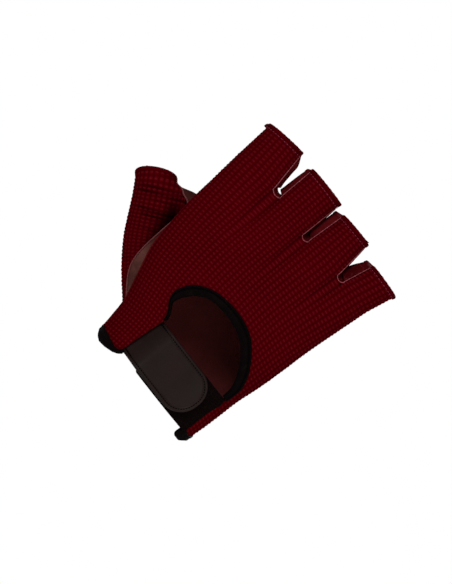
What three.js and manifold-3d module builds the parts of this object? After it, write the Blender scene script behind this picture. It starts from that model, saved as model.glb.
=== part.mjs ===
// Fingerless fitness glove for the right hand, in millimetres.
// +Z runs along the hand to the fingers, -Y faces out of the back of the hand, +Y out of the palm,
// and -X is the thumb side. The origin is the centre of the wrist opening.
import * as THREE from 'three';
import { mergeVertices } from 'three/addons/utils/BufferGeometryUtils.js';
import Module from 'manifold-3d';

const wasm = await Module();
wasm.setup();

// Driving dimensions
const KNIT_WALL = 2.0;
const LEATHER_WALL = 1.6;
const TAPE_WALL = 2.8;
const TAPE_PROUD = 0.4;
const GAP = 0.3;
const WELD = 1e-4;
const ROUNDNESS = 2.4;
const FINGER_HEM = { proud: 0.5, start: 1.9 };

// The wrist edge lies lower on the back of the hand than on the palm
const WRIST_EDGE = { side: 3.0, tilt: 4.4, depth: 22 };
const WRIST_TAPE = { below: -0.012, above: 0.019 };
const PANEL_START = 0.0225;

// Outline of the hand seen from the back, and its depth to either side, by height above the wrist
const HAND = [
  { z: -9, radial: -36.4, ulnar: 36.4, back: 21.8, palm: 23.8 },
  { z: 3, radial: -36.6, ulnar: 37.0, back: 21.3, palm: 23.3 },
  { z: 12, radial: -38.2, ulnar: 37.6, back: 20.2, palm: 22.2 },
  { z: 22, radial: -41.2, ulnar: 37.8, back: 19.4, palm: 21.4 },
  { z: 35, radial: -47.0, ulnar: 37.9, back: 18.4, palm: 20.6 },
  { z: 50, radial: -54.0, ulnar: 39.2, back: 17.4, palm: 19.8 },
  { z: 65, radial: -58.0, ulnar: 39.8, back: 16.8, palm: 19.0 },
  { z: 80, radial: -60.8, ulnar: 40.1, back: 16.3, palm: 18.0 },
  { z: 98, radial: -62.6, ulnar: 41.2, back: 15.4, palm: 16.2 },
  { z: 119, radial: -64.8, ulnar: 42.6, back: 13.8, palm: 14.0 },
];

// Each finger stall: where its two edges lie at the crotch and at the opening, how high it stands
// on its middle line, how much further towards the fingers the crotch lies on the palm, and how
// far the leather side walls swell past the knit's edges
const FINGERS = [
  {
    name: 'index',
    crotch: { left: -64.6, right: -37.6, leftZ: 117.5, rightZ: 116.9, top: 12.8 },
    opening: { left: -66.4, right: -43.6, leftZ: 138.8, rightZ: 142.8, top: 11.4 },
    leftEdge: 0,
    rightEdge: 1,
    web: { left: 0, right: 0.8 },
    swell: { left: 0, right: 1.2 },
  },
  {
    name: 'middle',
    crotch: { left: -33.4, right: -10.3, leftZ: 116.9, rightZ: 114.7, top: 13.6 },
    opening: { left: -33.5, right: -10.8, leftZ: 141.8, rightZ: 141.8, top: 11.8 },
    leftEdge: 1,
    rightEdge: 1,
    web: { left: 0.8, right: 6 },
    swell: { left: 3.2, right: 0.6 },
  },
  {
    name: 'ring',
    crotch: { left: -5.5, right: 17.7, leftZ: 114.7, rightZ: 116.2, top: 13.2 },
    opening: { left: -4.5, right: 14.5, leftZ: 139.6, rightZ: 140.2, top: 11.2 },
    leftEdge: 1,
    rightEdge: 1,
    web: { left: 6, right: 6 },
    swell: { left: 3.7, right: 0.6 },
  },
  {
    name: 'little',
    crotch: { left: 22.4, right: 42.5, leftZ: 116.2, rightZ: 117.5, top: 11.6 },
    opening: { left: 25.9, right: 45.4, leftZ: 135.4, rightZ: 134.6, top: 10.2 },
    leftEdge: 1,
    rightEdge: 0,
    web: { left: 6, right: 0 },
    swell: { left: 4.4, right: 0 },
  },
];
const EDGE_HEIGHT = { crotch: 8.6, opening: 3.6 };
const LOBES_START = 0.7;
// The swell grows over this length above the crotch and is lower again at the opening
const SWELL_LENGTH = 0.2;
const SWELL_AT_OPENING = 0.6;

// Sections of the thumb stall from its root inside the palm to its opening: the outer and inner
// ends of each section's width, the depth of its middle, half its thickness, and the angle of the
// seam between knit and leather, counted from the outer end over the back
const THUMB = [
  { outerX: -30.0, outerZ: 12.0, innerX: -16.0, innerZ: 62.0, y: 9.0, half: 6.0, seam: 12 },
  { outerX: -41.0, outerZ: 19.6, innerX: -24.0, innerZ: 70.0, y: 12.5, half: 9.2, seam: 22 },
  { outerX: -55.6, outerZ: 30.6, innerX: -33.0, innerZ: 78.0, y: 15.6, half: 11.6, seam: 42 },
  { outerX: -67.3, outerZ: 41.4, innerX: -44.0, innerZ: 83.0, y: 17.4, half: 12.6, seam: 80 },
  { outerX: -75.4, outerZ: 51.0, innerX: -54.0, innerZ: 85.6, y: 18.4, half: 12.8, seam: 104 },
  { outerX: -81.6, outerZ: 58.6, innerX: -62.4, innerZ: 84.4, y: 19.0, half: 12.4, seam: 122 },
  { outerX: -87.3, outerZ: 64.9, innerX: -70.0, innerZ: 81.2, y: 19.6, half: 11.8, seam: 146 },
  { outerX: -91.0, outerZ: 69.2, innerX: -74.4, innerZ: 83.2, y: 20.0, half: 11.4, seam: 155 },
];
const THUMB_PALM_SEAM = -28;
// The thumb's opening reaches further out over the back, along the stall
const THUMB_LIP = { start: 5, height: 3.4, x: -0.652, z: 0.758 };
const THUMB_SEAM_GAP = 3.5;

// The opening on the back of the wrist: the knit's cut edge, and the free edge of the tape on it
const BACK_OPENING = {
  middle: [3, 42],
  radialFlap: [[-20.4, -20], [-20.4, 3], [-19.1, 33.8]],
  rim: [[-25.2, 40.6], [-27.8, 46.5], [-24.6, 54.8], [-16.2, 61.3], [-5.3, 64.1], [5.9, 64.1],
    [16.5, 60.9], [28.2, 50.9], [33.9, 41.9], [33.6, 31.5]],
  ulnarFlap: [[33.1, 13.6], [31.2, 5.4], [31.2, -20]],
  tape: [[-17.9, 33.6], [-23.4, 41.2], [-23.8, 45.6], [-18.4, 53.8], [-11.4, 57.6], [1.6, 58.6],
    [11.2, 56.8], [18.8, 52.3], [25.6, 45.3], [30.3, 37.6], [32.2, 31.5]],
};

// The strap comes from under the radial flap and lies with its round end on the loop tongue
const STRAP = {
  root: -31, low: 5.2, high: 31.2, tip: 26.2, endRound: 12.0, wall: 1.8, rim: 2.6, rimProud: 0.5,
  underFlap: -4.4, onTongue: 1.2, riseFrom: -20.5, riseTo: -8.0, rimLength: 8,
  spare: 1,
};
const HOOK = { left: 1.0, right: 23.0, inset: 2.2, bottom: 0.0, top: 0.9 };
const TONGUE = { left: -8.2, right: 33.6, low: 4.4, high: 31.1, bottom: -2.0, top: -0.3 };

const COLOURS = {
  knit: { color: 0x5a0710, roughness: 0.92, metalness: 0 },
  leather: { color: 0x4a1418, roughness: 0.42, metalness: 0 },
  tape: { color: 0x0b0a0b, roughness: 0.6, metalness: 0 },
  strap: { color: 0x191516, roughness: 0.5, metalness: 0 },
  hook: { color: 0x101010, roughness: 0.8, metalness: 0 },
  loop: { color: 0x060606, roughness: 0.98, metalness: 0 },
};

const QUARTER = Math.PI / 2;
const mix = (from, to, share) => from + (to - from) * share;
const clamp = (value) => Math.min(1, Math.max(0, value));
const ease = (share) => clamp(share) ** 2 * (3 - 2 * clamp(share));

// Smooth curve through one column of a table, at any height
function columnAt(rows, key, column, at) {
  let i = rows.findIndex((row) => row[key] > at) - 1;
  if (i === -2) i = rows.length - 2;
  i = Math.max(i, 0);
  const before = rows[Math.max(i - 1, 0)];
  const low = rows[i];
  const high = rows[i + 1];
  const after = rows[Math.min(i + 2, rows.length - 1)];
  const span = high[key] - low[key];
  const share = (at - low[key]) / span;
  const slopeLow = (high[column] - before[column]) / (high[key] - before[key]) * span;
  const slopeHigh = (after[column] - low[column]) / (after[key] - low[key]) * span;
  const s2 = share * share;
  const s3 = s2 * share;
  return low[column] * (2 * s3 - 3 * s2 + 1) + slopeLow * (s3 - 2 * s2 + share)
    + high[column] * (3 * s2 - 2 * s3) + slopeHigh * (s3 - s2);
}

// The hand's section at height z: its middle and half width in x
function handSection(z) {
  const radial = columnAt(HAND, 'z', 'radial', z);
  const ulnar = columnAt(HAND, 'z', 'ulnar', z);
  return { middle: (radial + ulnar) / 2, half: (ulnar - radial) / 2 };
}

// How far the hand stands out of its middle plane at a share across of -1 to 1
function handDepth(side, across, z) {
  const depth = columnAt(HAND, 'z', side < 0 ? 'back' : 'palm', z);
  return depth * (1 - Math.min(1, Math.abs(across)) ** ROUNDNESS) ** (1 / ROUNDNESS);
}

// A point of a finger stall: turn runs from -1 at its thumb side to 1, along from 0 at the crotch
// to 1 at the opening
function stallPoint(side, finger, turn, along) {
  const across = (Math.sin(turn * QUARTER) + 1) / 2;
  const ends = [finger.crotch, finger.opening].map((end) => ({
    x: mix(end.left, end.right, across),
    z: mix(end.leftZ, end.rightZ, across),
  }));
  const edgeHeight = mix(EDGE_HEIGHT.crotch, EDGE_HEIGHT.opening, ease(along));
  const edge = edgeHeight * (turn < 0 ? finger.leftEdge : finger.rightEdge);
  const top = mix(finger.crotch.top, finger.opening.top, along);
  const height = edge + (top - edge) * Math.cos(turn * QUARTER);
  const web = side > 0 ? finger.web.left * (1 - across) ** 3 + finger.web.right * across ** 3 : 0;
  const z = mix(ends[0].z + web, ends[1].z, along);
  return new THREE.Vector3(mix(ends[0].x, ends[1].x, along), side * height, z);
}

// A point of the glove's outer form. row runs from 0 at the wrist over 1 at the crotches to 2 at
// the finger openings, and below the crotches the four stalls run out into the back or the palm
function formPoint(column, row) {
  const { side, finger, turn } = column;
  if (row >= 1) return stallPoint(side, finger, turn, row - 1);
  const crotch = stallPoint(side, finger, turn, 0);
  const top = handSection(crotch.z);
  const across = Math.max(-1, Math.min(1, (crotch.x - top.middle) / top.half));
  const wristDepth = side * handDepth(side, across, WRIST_EDGE.side);
  const wrist = WRIST_EDGE.side + WRIST_EDGE.tilt * wristDepth / WRIST_EDGE.depth;
  const z = mix(wrist, crotch.z, row);
  const section = handSection(z);
  const lobes = ease((row - LOBES_START) / (1 - LOBES_START));
  const y = mix(side * handDepth(side, across, z), crotch.y, lobes);
  return new THREE.Vector3(section.middle + section.half * across, y, z);
}

// Columns across the glove: turns of each finger on one side, from the thumb side or back to it
function columnsOf(side, turnsByFinger) {
  const columns = turnsByFinger.flatMap((turns, i) => (
    turns.map((turn) => ({ side, finger: FINGERS[i], turn }))));
  return side < 0 ? columns : columns.reverse();
}

// Turns of the side seams on the palm: the knit wraps round the little finger's side up to the first
const SIDE_SEAM = { knit: 0.74, leather: 0.7, radial: -0.98 };
const INNER_TURNS = [-1, -0.85, -0.45, 0, 0.45, 0.85, 1];
const BACK_COLUMNS = columnsOf(-1, [[-1, -0.9, -0.65, -0.3, 0.1, 0.5, 0.85, 1],
  INNER_TURNS, INNER_TURNS, INNER_TURNS]);
const WRAP_COLUMNS = columnsOf(1, [[], [], [], [SIDE_SEAM.knit, 0.88]]);
const PALM_COLUMNS = columnsOf(1, [[SIDE_SEAM.radial, -0.9, -0.65, -0.3, 0.1, 0.5, 0.85, 1],
  INNER_TURNS, INNER_TURNS, [-1, -0.85, -0.4, 0.1, 0.5, SIDE_SEAM.leather]]);
const HAND_ROWS = [0.1, 0.18, 0.27, 0.36, 0.45, 0.54, 0.63, 0.72, 0.8, 0.88, 0.95, 1];
const STALL_ROWS = [1.15, 1.4, 1.65, FINGER_HEM.start - 0.02, FINGER_HEM.start, 2];

// Outward directions at the points of a grid, from the faces that are present around each
function gridNormals(grid, present, closed) {
  const normals = grid.map((line) => line.map(() => new THREE.Vector3()));
  const wide = grid[0].length;
  for (let r = 0; r + 1 < grid.length; r += 1) {
    for (let c = 0; c + (closed ? 0 : 1) < wide; c += 1) {
      const d = (c + 1) % wide;
      if (present(r, c)) {
        const across = grid[r + 1][d].clone().sub(grid[r][c]);
        const back = grid[r + 1][c].clone().sub(grid[r][d]);
        const normal = across.cross(back).normalize();
        [[r, c], [r, d], [r + 1, c], [r + 1, d]].forEach(([i, j]) => normals[i][j].add(normal));
      }
    }
  }
  normals.forEach((line) => line.forEach((normal) => normal.normalize()));
  return normals;
}

function offsetGrid(grid, distance, { present = () => true, closed = false, rowProud = () => 0 } = {}) {
  const normals = gridNormals(grid, present, closed);
  return grid.map((line, r) => line.map((point, c) => (
    point.clone().addScaledVector(normals[r][c], distance + rowProud(r)))));
}

function indexedGeometry(points, faces) {
  const geometry = new THREE.BufferGeometry();
  const places = points.flatMap((point) => point.toArray());
  geometry.setAttribute('position', new THREE.Float32BufferAttribute(places, 3));
  geometry.setIndex(faces.flat());
  return geometry;
}

// A wall of even thickness under a grid of outer points, closed round all its edges
function sheet(grid, { thickness, proud = 0, present = () => true, closed = false, rowProud } = {}) {
  const outer = offsetGrid(grid, proud, { present, closed, rowProud });
  const inner = offsetGrid(grid, proud - thickness, { present, closed });
  const wide = grid[0].length;
  const count = grid.length * wide;
  const index = (r, c) => r * wide + (c % wide);
  const lastColumn = closed ? wide : wide - 1;
  const has = (r, c) => {
    if (r < 0 || r >= grid.length - 1) return false;
    if (closed) return present(r, (c + wide) % wide);
    return c >= 0 && c < lastColumn && present(r, c);
  };
  const faces = [];
  const quad = (a, b, c, d) => faces.push([a, b, c], [a, c, d]);
  const side = (a, b) => quad(b, a, a + count, b + count);
  for (let r = 0; r + 1 < grid.length; r += 1) {
    for (let c = 0; c < lastColumn; c += 1) {
      if (has(r, c)) {
        const corners = [index(r, c), index(r, c + 1), index(r + 1, c + 1), index(r + 1, c)];
        quad(...corners);
        quad(...corners.map((i) => i + count).reverse());
        if (!has(r - 1, c)) side(corners[0], corners[1]);
        if (!has(r, c + 1)) side(corners[1], corners[2]);
        if (!has(r + 1, c)) side(corners[2], corners[3]);
        if (!has(r, c - 1)) side(corners[3], corners[0]);
      }
    }
  }
  return indexedGeometry([...outer.flat(), ...inner.flat()], faces);
}

// A solid filling a ring of columns, closed by a fan at either end
function plug(grid) {
  const wide = grid[0].length;
  const points = grid.flat();
  const faces = [];
  for (let r = 0; r + 1 < grid.length; r += 1) {
    for (let c = 0; c < wide; c += 1) {
      const d = (c + 1) % wide;
      const corners = [r * wide + c, r * wide + d, (r + 1) * wide + d, (r + 1) * wide + c];
      faces.push(corners.slice(0, 3), [corners[0], corners[2], corners[3]]);
    }
  }
  [0, grid.length - 1].forEach((r) => {
    const centre = grid[r].reduce((sum, p) => sum.add(p), new THREE.Vector3()).divideScalar(wide);
    const hub = points.push(centre) - 1;
    for (let c = 0; c < wide; c += 1) {
      const rim = [r * wide + c, r * wide + ((c + 1) % wide)];
      faces.push(r === 0 ? [rim[1], rim[0], hub] : [rim[0], rim[1], hub]);
    }
  });
  return indexedGeometry(points, faces);
}

// Solids that can be joined and cut
function solid(geometry) {
  const bare = geometry.clone();
  bare.deleteAttribute('normal');
  bare.deleteAttribute('uv');
  const merged = mergeVertices(bare, WELD);
  return new wasm.Manifold(new wasm.Mesh({
    numProp: 3,
    vertProperties: new Float32Array(merged.attributes.position.array),
    triVerts: new Uint32Array(merged.index.array),
  }));
}

// The biggest single body of a solid, without crumbs left by a cut
function mainBody(body) {
  const bodies = body.decompose();
  bodies.sort((a, b) => b.volume() - a.volume());
  return bodies[0];
}

function node(name, body, look) {
  const mesh = mainBody(body).getMesh();
  const geometry = new THREE.BufferGeometry();
  geometry.setAttribute('position', new THREE.BufferAttribute(new Float32Array(mesh.vertProperties), 3));
  geometry.setIndex(new THREE.BufferAttribute(new Uint32Array(mesh.triVerts), 1));
  geometry.computeVertexNormals();
  const part = new THREE.Mesh(geometry, new THREE.MeshStandardMaterial(look));
  part.name = name;
  return part;
}

// A plan shape in x and z, cut through the back of the hand only
const CUT_DEPTH = 45;
function backCutter(shape, curveSegments) {
  const geometry = new THREE.ExtrudeGeometry(shape, { depth: CUT_DEPTH, bevelEnabled: false, curveSegments });
  return solid(geometry.rotateX(QUARTER));
}

const planPoints = (points) => points.map(([x, z]) => new THREE.Vector2(x, z));

// The rim of the opening, moved out from the opening's middle by a distance
function grownRim(grow) {
  const middle = new THREE.Vector2(...BACK_OPENING.middle);
  return planPoints(BACK_OPENING.rim).map((point) => {
    const out = point.clone().sub(middle).normalize();
    return point.addScaledVector(out, grow);
  });
}

// The opening's outline. A positive grow makes it that much wider than the knit's cut edge
function openingShape(grow) {
  const [low, corner, ...radial] = BACK_OPENING.radialFlap;
  const shape = new THREE.Shape();
  shape.moveTo(low[0] - grow, low[1]);
  shape.lineTo(corner[0] - grow, corner[1]);
  radial.forEach(([x, z]) => shape.lineTo(x - grow, z));
  shape.splineThru(grownRim(grow));
  BACK_OPENING.ulnarFlap.forEach(([x, z]) => shape.lineTo(x + grow, z));
  shape.closePath();
  return shape;
}

// The tape on the rim of the opening, between the knit's edge and the tape's own free edge
function tapeShape() {
  const shape = new THREE.Shape();
  const start = BACK_OPENING.radialFlap.at(-1);
  shape.moveTo(start[0] + GAP, start[1]);
  shape.splineThru(grownRim(-GAP));
  const free = planPoints(BACK_OPENING.tape).reverse();
  shape.lineTo(free[0].x, free[0].y);
  shape.splineThru(free.slice(1));
  shape.closePath();
  return shape;
}

// Height of the hand's back at a place of the wrist, and a slab that follows it
function backHeight(x, z) {
  const section = handSection(z);
  return -handDepth(-1, (x - section.middle) / section.half, z);
}

const SLAB_STEPS = { x: 16, z: 4 };
const RIM_SEGMENTS = 4;
const ARC_SEGMENTS = 8;
function backSlab({ left, right, low, high, bottom, top }) {
  const level = (value, x) => (typeof value === 'function' ? value(x) : value);
  const surface = (value) => Array.from({ length: SLAB_STEPS.z + 1 }, (_, r) => (
    Array.from({ length: SLAB_STEPS.x + 1 }, (__, c) => {
      const x = mix(left, right, c / SLAB_STEPS.x);
      const z = mix(low, high, r / SLAB_STEPS.z);
      return new THREE.Vector3(x, backHeight(x, z) - level(value, x), z);
    })));
  const upper = surface(top);
  const lower = surface(bottom);
  const rings = upper.map((line, r) => [...line, ...lower[r].slice().reverse()]);
  const wide = rings[0].length;
  const half = wide / 2;
  const faces = [];
  const quad = (a, b, c, d) => faces.push([a, b, c], [a, c, d]);
  rings.slice(1).forEach((_, r) => {
    for (let c = 0; c < wide; c += 1) {
      const d = (c + 1) % wide;
      quad(r * wide + c, r * wide + d, (r + 1) * wide + d, (r + 1) * wide + c);
    }
  });
  const last = (rings.length - 1) * wide;
  for (let c = 0; c + 1 < half; c += 1) {
    quad(c + 1, c, wide - 1 - c, wide - 2 - c);
    quad(last + c, last + c + 1, last + wide - 2 - c, last + wide - 1 - c);
  }
  return solid(indexedGeometry(rings.flat(), faces));
}

// A strip with one square and one rounded end
function strapShape(inset) {
  const { root, low, high, tip, endRound } = STRAP;
  const round = endRound - inset;
  const shape = new THREE.Shape();
  shape.moveTo(root + inset, low + inset);
  shape.lineTo(tip - endRound, low + inset);
  shape.absarc(tip - endRound, low + inset + round, round, -QUARTER, 0, false);
  shape.lineTo(tip - inset, high - inset - round);
  shape.absarc(tip - endRound, high - inset - round, round, 0, QUARTER, false);
  shape.lineTo(root + inset, high - inset);
  shape.closePath();
  return shape;
}

// The strap's underside rises from below the flap's knit to the top of the tongue
function strapLevel(x) {
  return mix(STRAP.underFlap, STRAP.onTongue, ease((x - STRAP.riseFrom) / (STRAP.riseTo - STRAP.riseFrom)));
}

// Thumb sections as a smooth tube. turn is the angle in degrees from the outer end over the back
const THUMB_ROWS = THUMB.map((row, i) => ({ ...row, i }));
function thumbPoint(turn, i) {
  const at = (column) => columnAt(THUMB_ROWS, 'i', column, i);
  const outer = new THREE.Vector3(at('outerX'), at('y'), at('outerZ'));
  const inner = new THREE.Vector3(at('innerX'), at('y'), at('innerZ'));
  const angle = THREE.MathUtils.degToRad(turn);
  const middle = outer.clone().add(inner).multiplyScalar(0.5);
  const point = middle.clone().add(outer.sub(middle).multiplyScalar(Math.cos(angle)));
  point.y -= at('half') * Math.sin(angle);
  const lip = THUMB_LIP.height * Math.max(0, Math.sin(angle))
    * ease((i - THUMB_LIP.start) / (THUMB.length - 1 - THUMB_LIP.start));
  point.x += THUMB_LIP.x * lip;
  point.z += THUMB_LIP.z * lip;
  return point;
}

const THUMB_HEM_START = 6.82;
const THUMB_STEPS = [0, 0.5, 1, 1.5, 2, 2.5, 3, 3.5, 4, 4.5, 5, 5.5, 6, 6.4, 6.72, THUMB_HEM_START, 7];
const THUMB_RING_STEPS = 24;
const THUMB_COLUMNS = 12;
const seamAt = (i) => columnAt(THUMB_ROWS, 'i', 'seam', i);
const steps = (count) => Array.from({ length: count + 1 }, (_, i) => i / count);

function thumbGrid(columns, from, to) {
  return THUMB_STEPS.map((i) => steps(columns).map((share) => thumbPoint(mix(from(i), to(i), share), i)));
}

// Columns all the way round the hand
const RING_COLUMNS = [
  ...columnsOf(-1, [INNER_TURNS, INNER_TURNS, INNER_TURNS, [-1, -0.6, -0.2, 0.2, 0.5, 0.75, 0.92]]),
  ...columnsOf(1, [[-0.92, -0.75, -0.5, -0.2, 0.2, 0.6, 1], INNER_TURNS, INNER_TURNS, INNER_TURNS]),
];
const formGrid = (columns, rows) => rows.map((row) => columns.map((column) => formPoint(column, row)));

// Above the crotches nothing joins one finger's columns to the next
const PANEL_ROWS = [PANEL_START, ...HAND_ROWS, ...STALL_ROWS];
function slitsIn(columns, rows) {
  return (r, c) => rows[r] < 1 || columns[c].finger === columns[(c + 1) % columns.length].finger;
}
const hemProud = (rows) => (r) => (rows[r] >= FINGER_HEM.start ? FINGER_HEM.proud : 0);

function panel(columns, thickness) {
  const present = slitsIn(columns, PANEL_ROWS);
  return solid(sheet(formGrid(columns, PANEL_ROWS), { thickness, present, rowProud: hemProud(PANEL_ROWS) }));
}

// The leather that lines one slit: down one finger's side, round the crotch and up the next
const ARM = [2, 1.75, 1.5, 1.3, 1.2, 1.12, 1.05];
const WALL_STEPS = [1, 0.88, 0.65, 0.5, 0.35, 0.12, 0];
// Below the knit and above the palm leather at the crotch, and next to their edges along the arms
const WALL_MARGIN = { crotch: 2.5, arm: 0.6, length: 0.15 };
const SIDE_WALL = 1.1;
function fourchette(left, right) {
  const path = [...ARM.map((row) => ({ finger: left, turn: 1, row, swell: left.swell.right })),
    { finger: left, turn: 1, row: 1, swell: 0 },
    { finger: right, turn: -1, row: 1, swell: 0 },
    ...ARM.slice().reverse().map((row) => ({ finger: right, turn: -1, row, swell: -right.swell.left }))];
  const rows = path.map(({ finger, turn, row, swell }) => {
    const back = stallPoint(-1, finger, turn, row - 1);
    const palm = stallPoint(1, finger, turn, row - 1);
    const out = swell * ease((row - 1) / SWELL_LENGTH) * mix(1, SWELL_AT_OPENING, row - 1);
    const margin = mix(WALL_MARGIN.crotch, WALL_MARGIN.arm, ease((row - 1) / WALL_MARGIN.length));
    back.y += margin;
    palm.y -= margin;
    return WALL_STEPS.map((share) => {
      const point = back.clone().lerp(palm, share);
      point.x += out * Math.sin(share * Math.PI);
      return point;
    });
  });
  return solid(sheet(rows, { thickness: SIDE_WALL }));
}

// The hand's form as one solid, which ends the thumb stall, and the hollow of the thumb, which
// opens the palm where the stall is set in
const HULL_ROWS = [-0.09, 0, 0.1, 0.2, 0.3, 0.4, 0.5, 0.6, 0.7, 0.8, 0.88];
const handHull = solid(plug(offsetGrid(formGrid(RING_COLUMNS, HULL_ROWS), GAP, { closed: true })));
const THUMB_RING = steps(THUMB_RING_STEPS).slice(0, -1);
const thumbRing = THUMB_STEPS.map((i) => THUMB_RING.map((share) => thumbPoint(share * 360, i)));
const thumbHollow = solid(plug(offsetGrid(thumbRing, -LEATHER_WALL, { closed: true })));

const openingCut = backCutter(openingShape(0), RIM_SEGMENTS);
const backPanel = panel([...BACK_COLUMNS, ...WRAP_COLUMNS], KNIT_WALL).subtract(openingCut);
const palmPanel = panel(PALM_COLUMNS, LEATHER_WALL).subtract(thumbHollow);

// The thumb stall, knit over its back and leather over its front and the web
function thumbPiece(from, to, thickness) {
  const rowProud = (r) => (THUMB_STEPS[r] >= THUMB_HEM_START ? FINGER_HEM.proud : 0);
  return solid(sheet(thumbGrid(THUMB_COLUMNS, from, to), { thickness, rowProud })).subtract(handHull);
}
const thumbBack = thumbPiece(() => THUMB_PALM_SEAM, seamAt, KNIT_WALL);
const thumbFront = thumbPiece(
  (i) => seamAt(i) + THUMB_SEAM_GAP,
  () => 360 + THUMB_PALM_SEAM - THUMB_SEAM_GAP,
  LEATHER_WALL,
);

// Tape folded over the rim of the back opening and over the wrist edge
const TAPE = { thickness: TAPE_WALL, proud: TAPE_PROUD };
const RIM_ROWS = [0.2, 0.25, 0.3, 0.35, 0.4, 0.45, 0.5, 0.56, 0.62];
const rimTape = solid(sheet(formGrid(BACK_COLUMNS, RIM_ROWS), TAPE))
  .intersect(backCutter(tapeShape(), RIM_SEGMENTS));
const WRIST_ROWS = [WRIST_TAPE.below, 0, WRIST_TAPE.above];
const wristTape = solid(sheet(formGrid(RING_COLUMNS, WRIST_ROWS), { ...TAPE, closed: true }))
  .subtract(openingCut);

// The closure: the loop tongue on the little finger's side, the hooks, and the strap over them
const loopTongue = backSlab(TONGUE).intersect(backCutter(openingShape(-GAP), RIM_SEGMENTS));
const hookPatch = backSlab({ ...HOOK, low: STRAP.low + HOOK.inset, high: STRAP.high - HOOK.inset })
  .intersect(backCutter(strapShape(HOOK.inset), ARC_SEGMENTS));
const strapSpan = {
  left: STRAP.root - STRAP.spare,
  right: STRAP.tip + STRAP.spare,
  low: STRAP.low - STRAP.spare,
  high: STRAP.high + STRAP.spare,
};
// The strap's edge stands up as a rim, more so past the flap
const strapTop = (x) => strapLevel(x) + STRAP.wall;
const rimTop = (x) => strapTop(x) + STRAP.rimProud * ease((x - STRAP.riseFrom) / STRAP.rimLength);
const strapOutline = backCutter(strapShape(0), ARC_SEGMENTS);
const strapBase = backSlab({ ...strapSpan, bottom: strapLevel, top: strapTop }).intersect(strapOutline);
const strapRim = backSlab({ ...strapSpan, bottom: strapLevel, top: rimTop }).intersect(strapOutline)
  .subtract(backCutter(strapShape(STRAP.rim), ARC_SEGMENTS));
const strap = strapBase.add(strapRim).subtract(backPanel.translate([0, GAP, 0]));

const glove = new THREE.Group();
glove.add(
  node('back_panel', backPanel, COLOURS.knit),
  node('palm_panel', palmPanel, COLOURS.leather),
  node('thumb_back', thumbBack, COLOURS.knit),
  node('thumb_front', thumbFront, COLOURS.leather),
  node('opening_binding', rimTape, COLOURS.tape),
  node('wrist_binding', wristTape, COLOURS.tape),
  node('strap', strap, COLOURS.strap),
  node('hook_patch', hookPatch, COLOURS.hook),
  node('loop_patch', loopTongue, COLOURS.loop),
);
FINGERS.slice(1).forEach((finger, i) => {
  const before = FINGERS[i];
  glove.add(node(`fourchette_${before.name}_${finger.name}`, fourchette(before, finger), COLOURS.leather));
});

export default glove;
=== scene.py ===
# %% [markdown]
# # A fingerless fitness glove
# This lesson dresses a plain model of a fitness glove in knit, leather, tape and hook-and-loop.
# The plain model comes in as a fixed frame. Every piece here is made over one of its parts, in
# the same place, so the glove keeps its size. Lengths in the tables are in millimetres, and a
# mesh is turned into metres at the moment it is made.

import bmesh
import bpy
import numpy as np
from mathutils import Matrix, Vector


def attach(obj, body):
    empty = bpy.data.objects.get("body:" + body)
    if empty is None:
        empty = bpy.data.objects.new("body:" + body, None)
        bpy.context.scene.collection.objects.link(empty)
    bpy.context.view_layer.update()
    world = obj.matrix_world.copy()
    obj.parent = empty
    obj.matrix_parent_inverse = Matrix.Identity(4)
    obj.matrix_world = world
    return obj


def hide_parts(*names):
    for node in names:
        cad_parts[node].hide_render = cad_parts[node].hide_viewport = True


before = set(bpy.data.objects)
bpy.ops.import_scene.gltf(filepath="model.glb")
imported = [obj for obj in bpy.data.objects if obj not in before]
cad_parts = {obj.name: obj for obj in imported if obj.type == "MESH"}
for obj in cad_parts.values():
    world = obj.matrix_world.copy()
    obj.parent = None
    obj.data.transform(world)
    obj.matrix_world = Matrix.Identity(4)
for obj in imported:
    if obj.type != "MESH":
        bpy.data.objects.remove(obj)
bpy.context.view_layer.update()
MM = 0.001
print("plain parts:", ", ".join(sorted(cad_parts)))

# %% [markdown]
# ## Camera, floor and light
# The glove is seen square on to its back, from far enough away that nearly no perspective
# shows. The camera is rolled so that the finger stalls point up and to the right: turning the
# glove instead would take it out of the frame that all its parts share. The background is white
# and lights the glove softly from everywhere. A large lamp over the thumb's side gives the knit
# its shadows and the leather its shine, and a plain floor lies well below.

# %% Camera
VIEW = {"distance": 1200, "x": -11.3, "z": 66.1, "height": 306.6, "sensor": 24.0}
ROLL_RIGHT = np.array([0.6157, 0.0, 0.7880])
ROLL_UP = np.array([-0.7880, 0.0, 0.6157])

camera_data = bpy.data.cameras.new("camera")
camera_data.sensor_fit = "VERTICAL"
camera_data.sensor_height = VIEW["sensor"]
camera_data.lens = VIEW["sensor"] * VIEW["distance"] / VIEW["height"]
camera = bpy.data.objects.new("camera", camera_data)
camera_axes = np.column_stack([ROLL_RIGHT, ROLL_UP, np.cross(ROLL_RIGHT, ROLL_UP)])
camera.matrix_world = Matrix(camera_axes.tolist()).to_4x4()
camera.location = Vector((VIEW["x"] * MM, -VIEW["distance"] * MM, VIEW["z"] * MM))
bpy.context.scene.collection.objects.link(camera)
bpy.context.scene.camera = camera
print("camera lens", round(camera_data.lens, 1), "mm")

# %% Background
BACKDROP = 1.0
AMBIENT = 0.42

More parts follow.
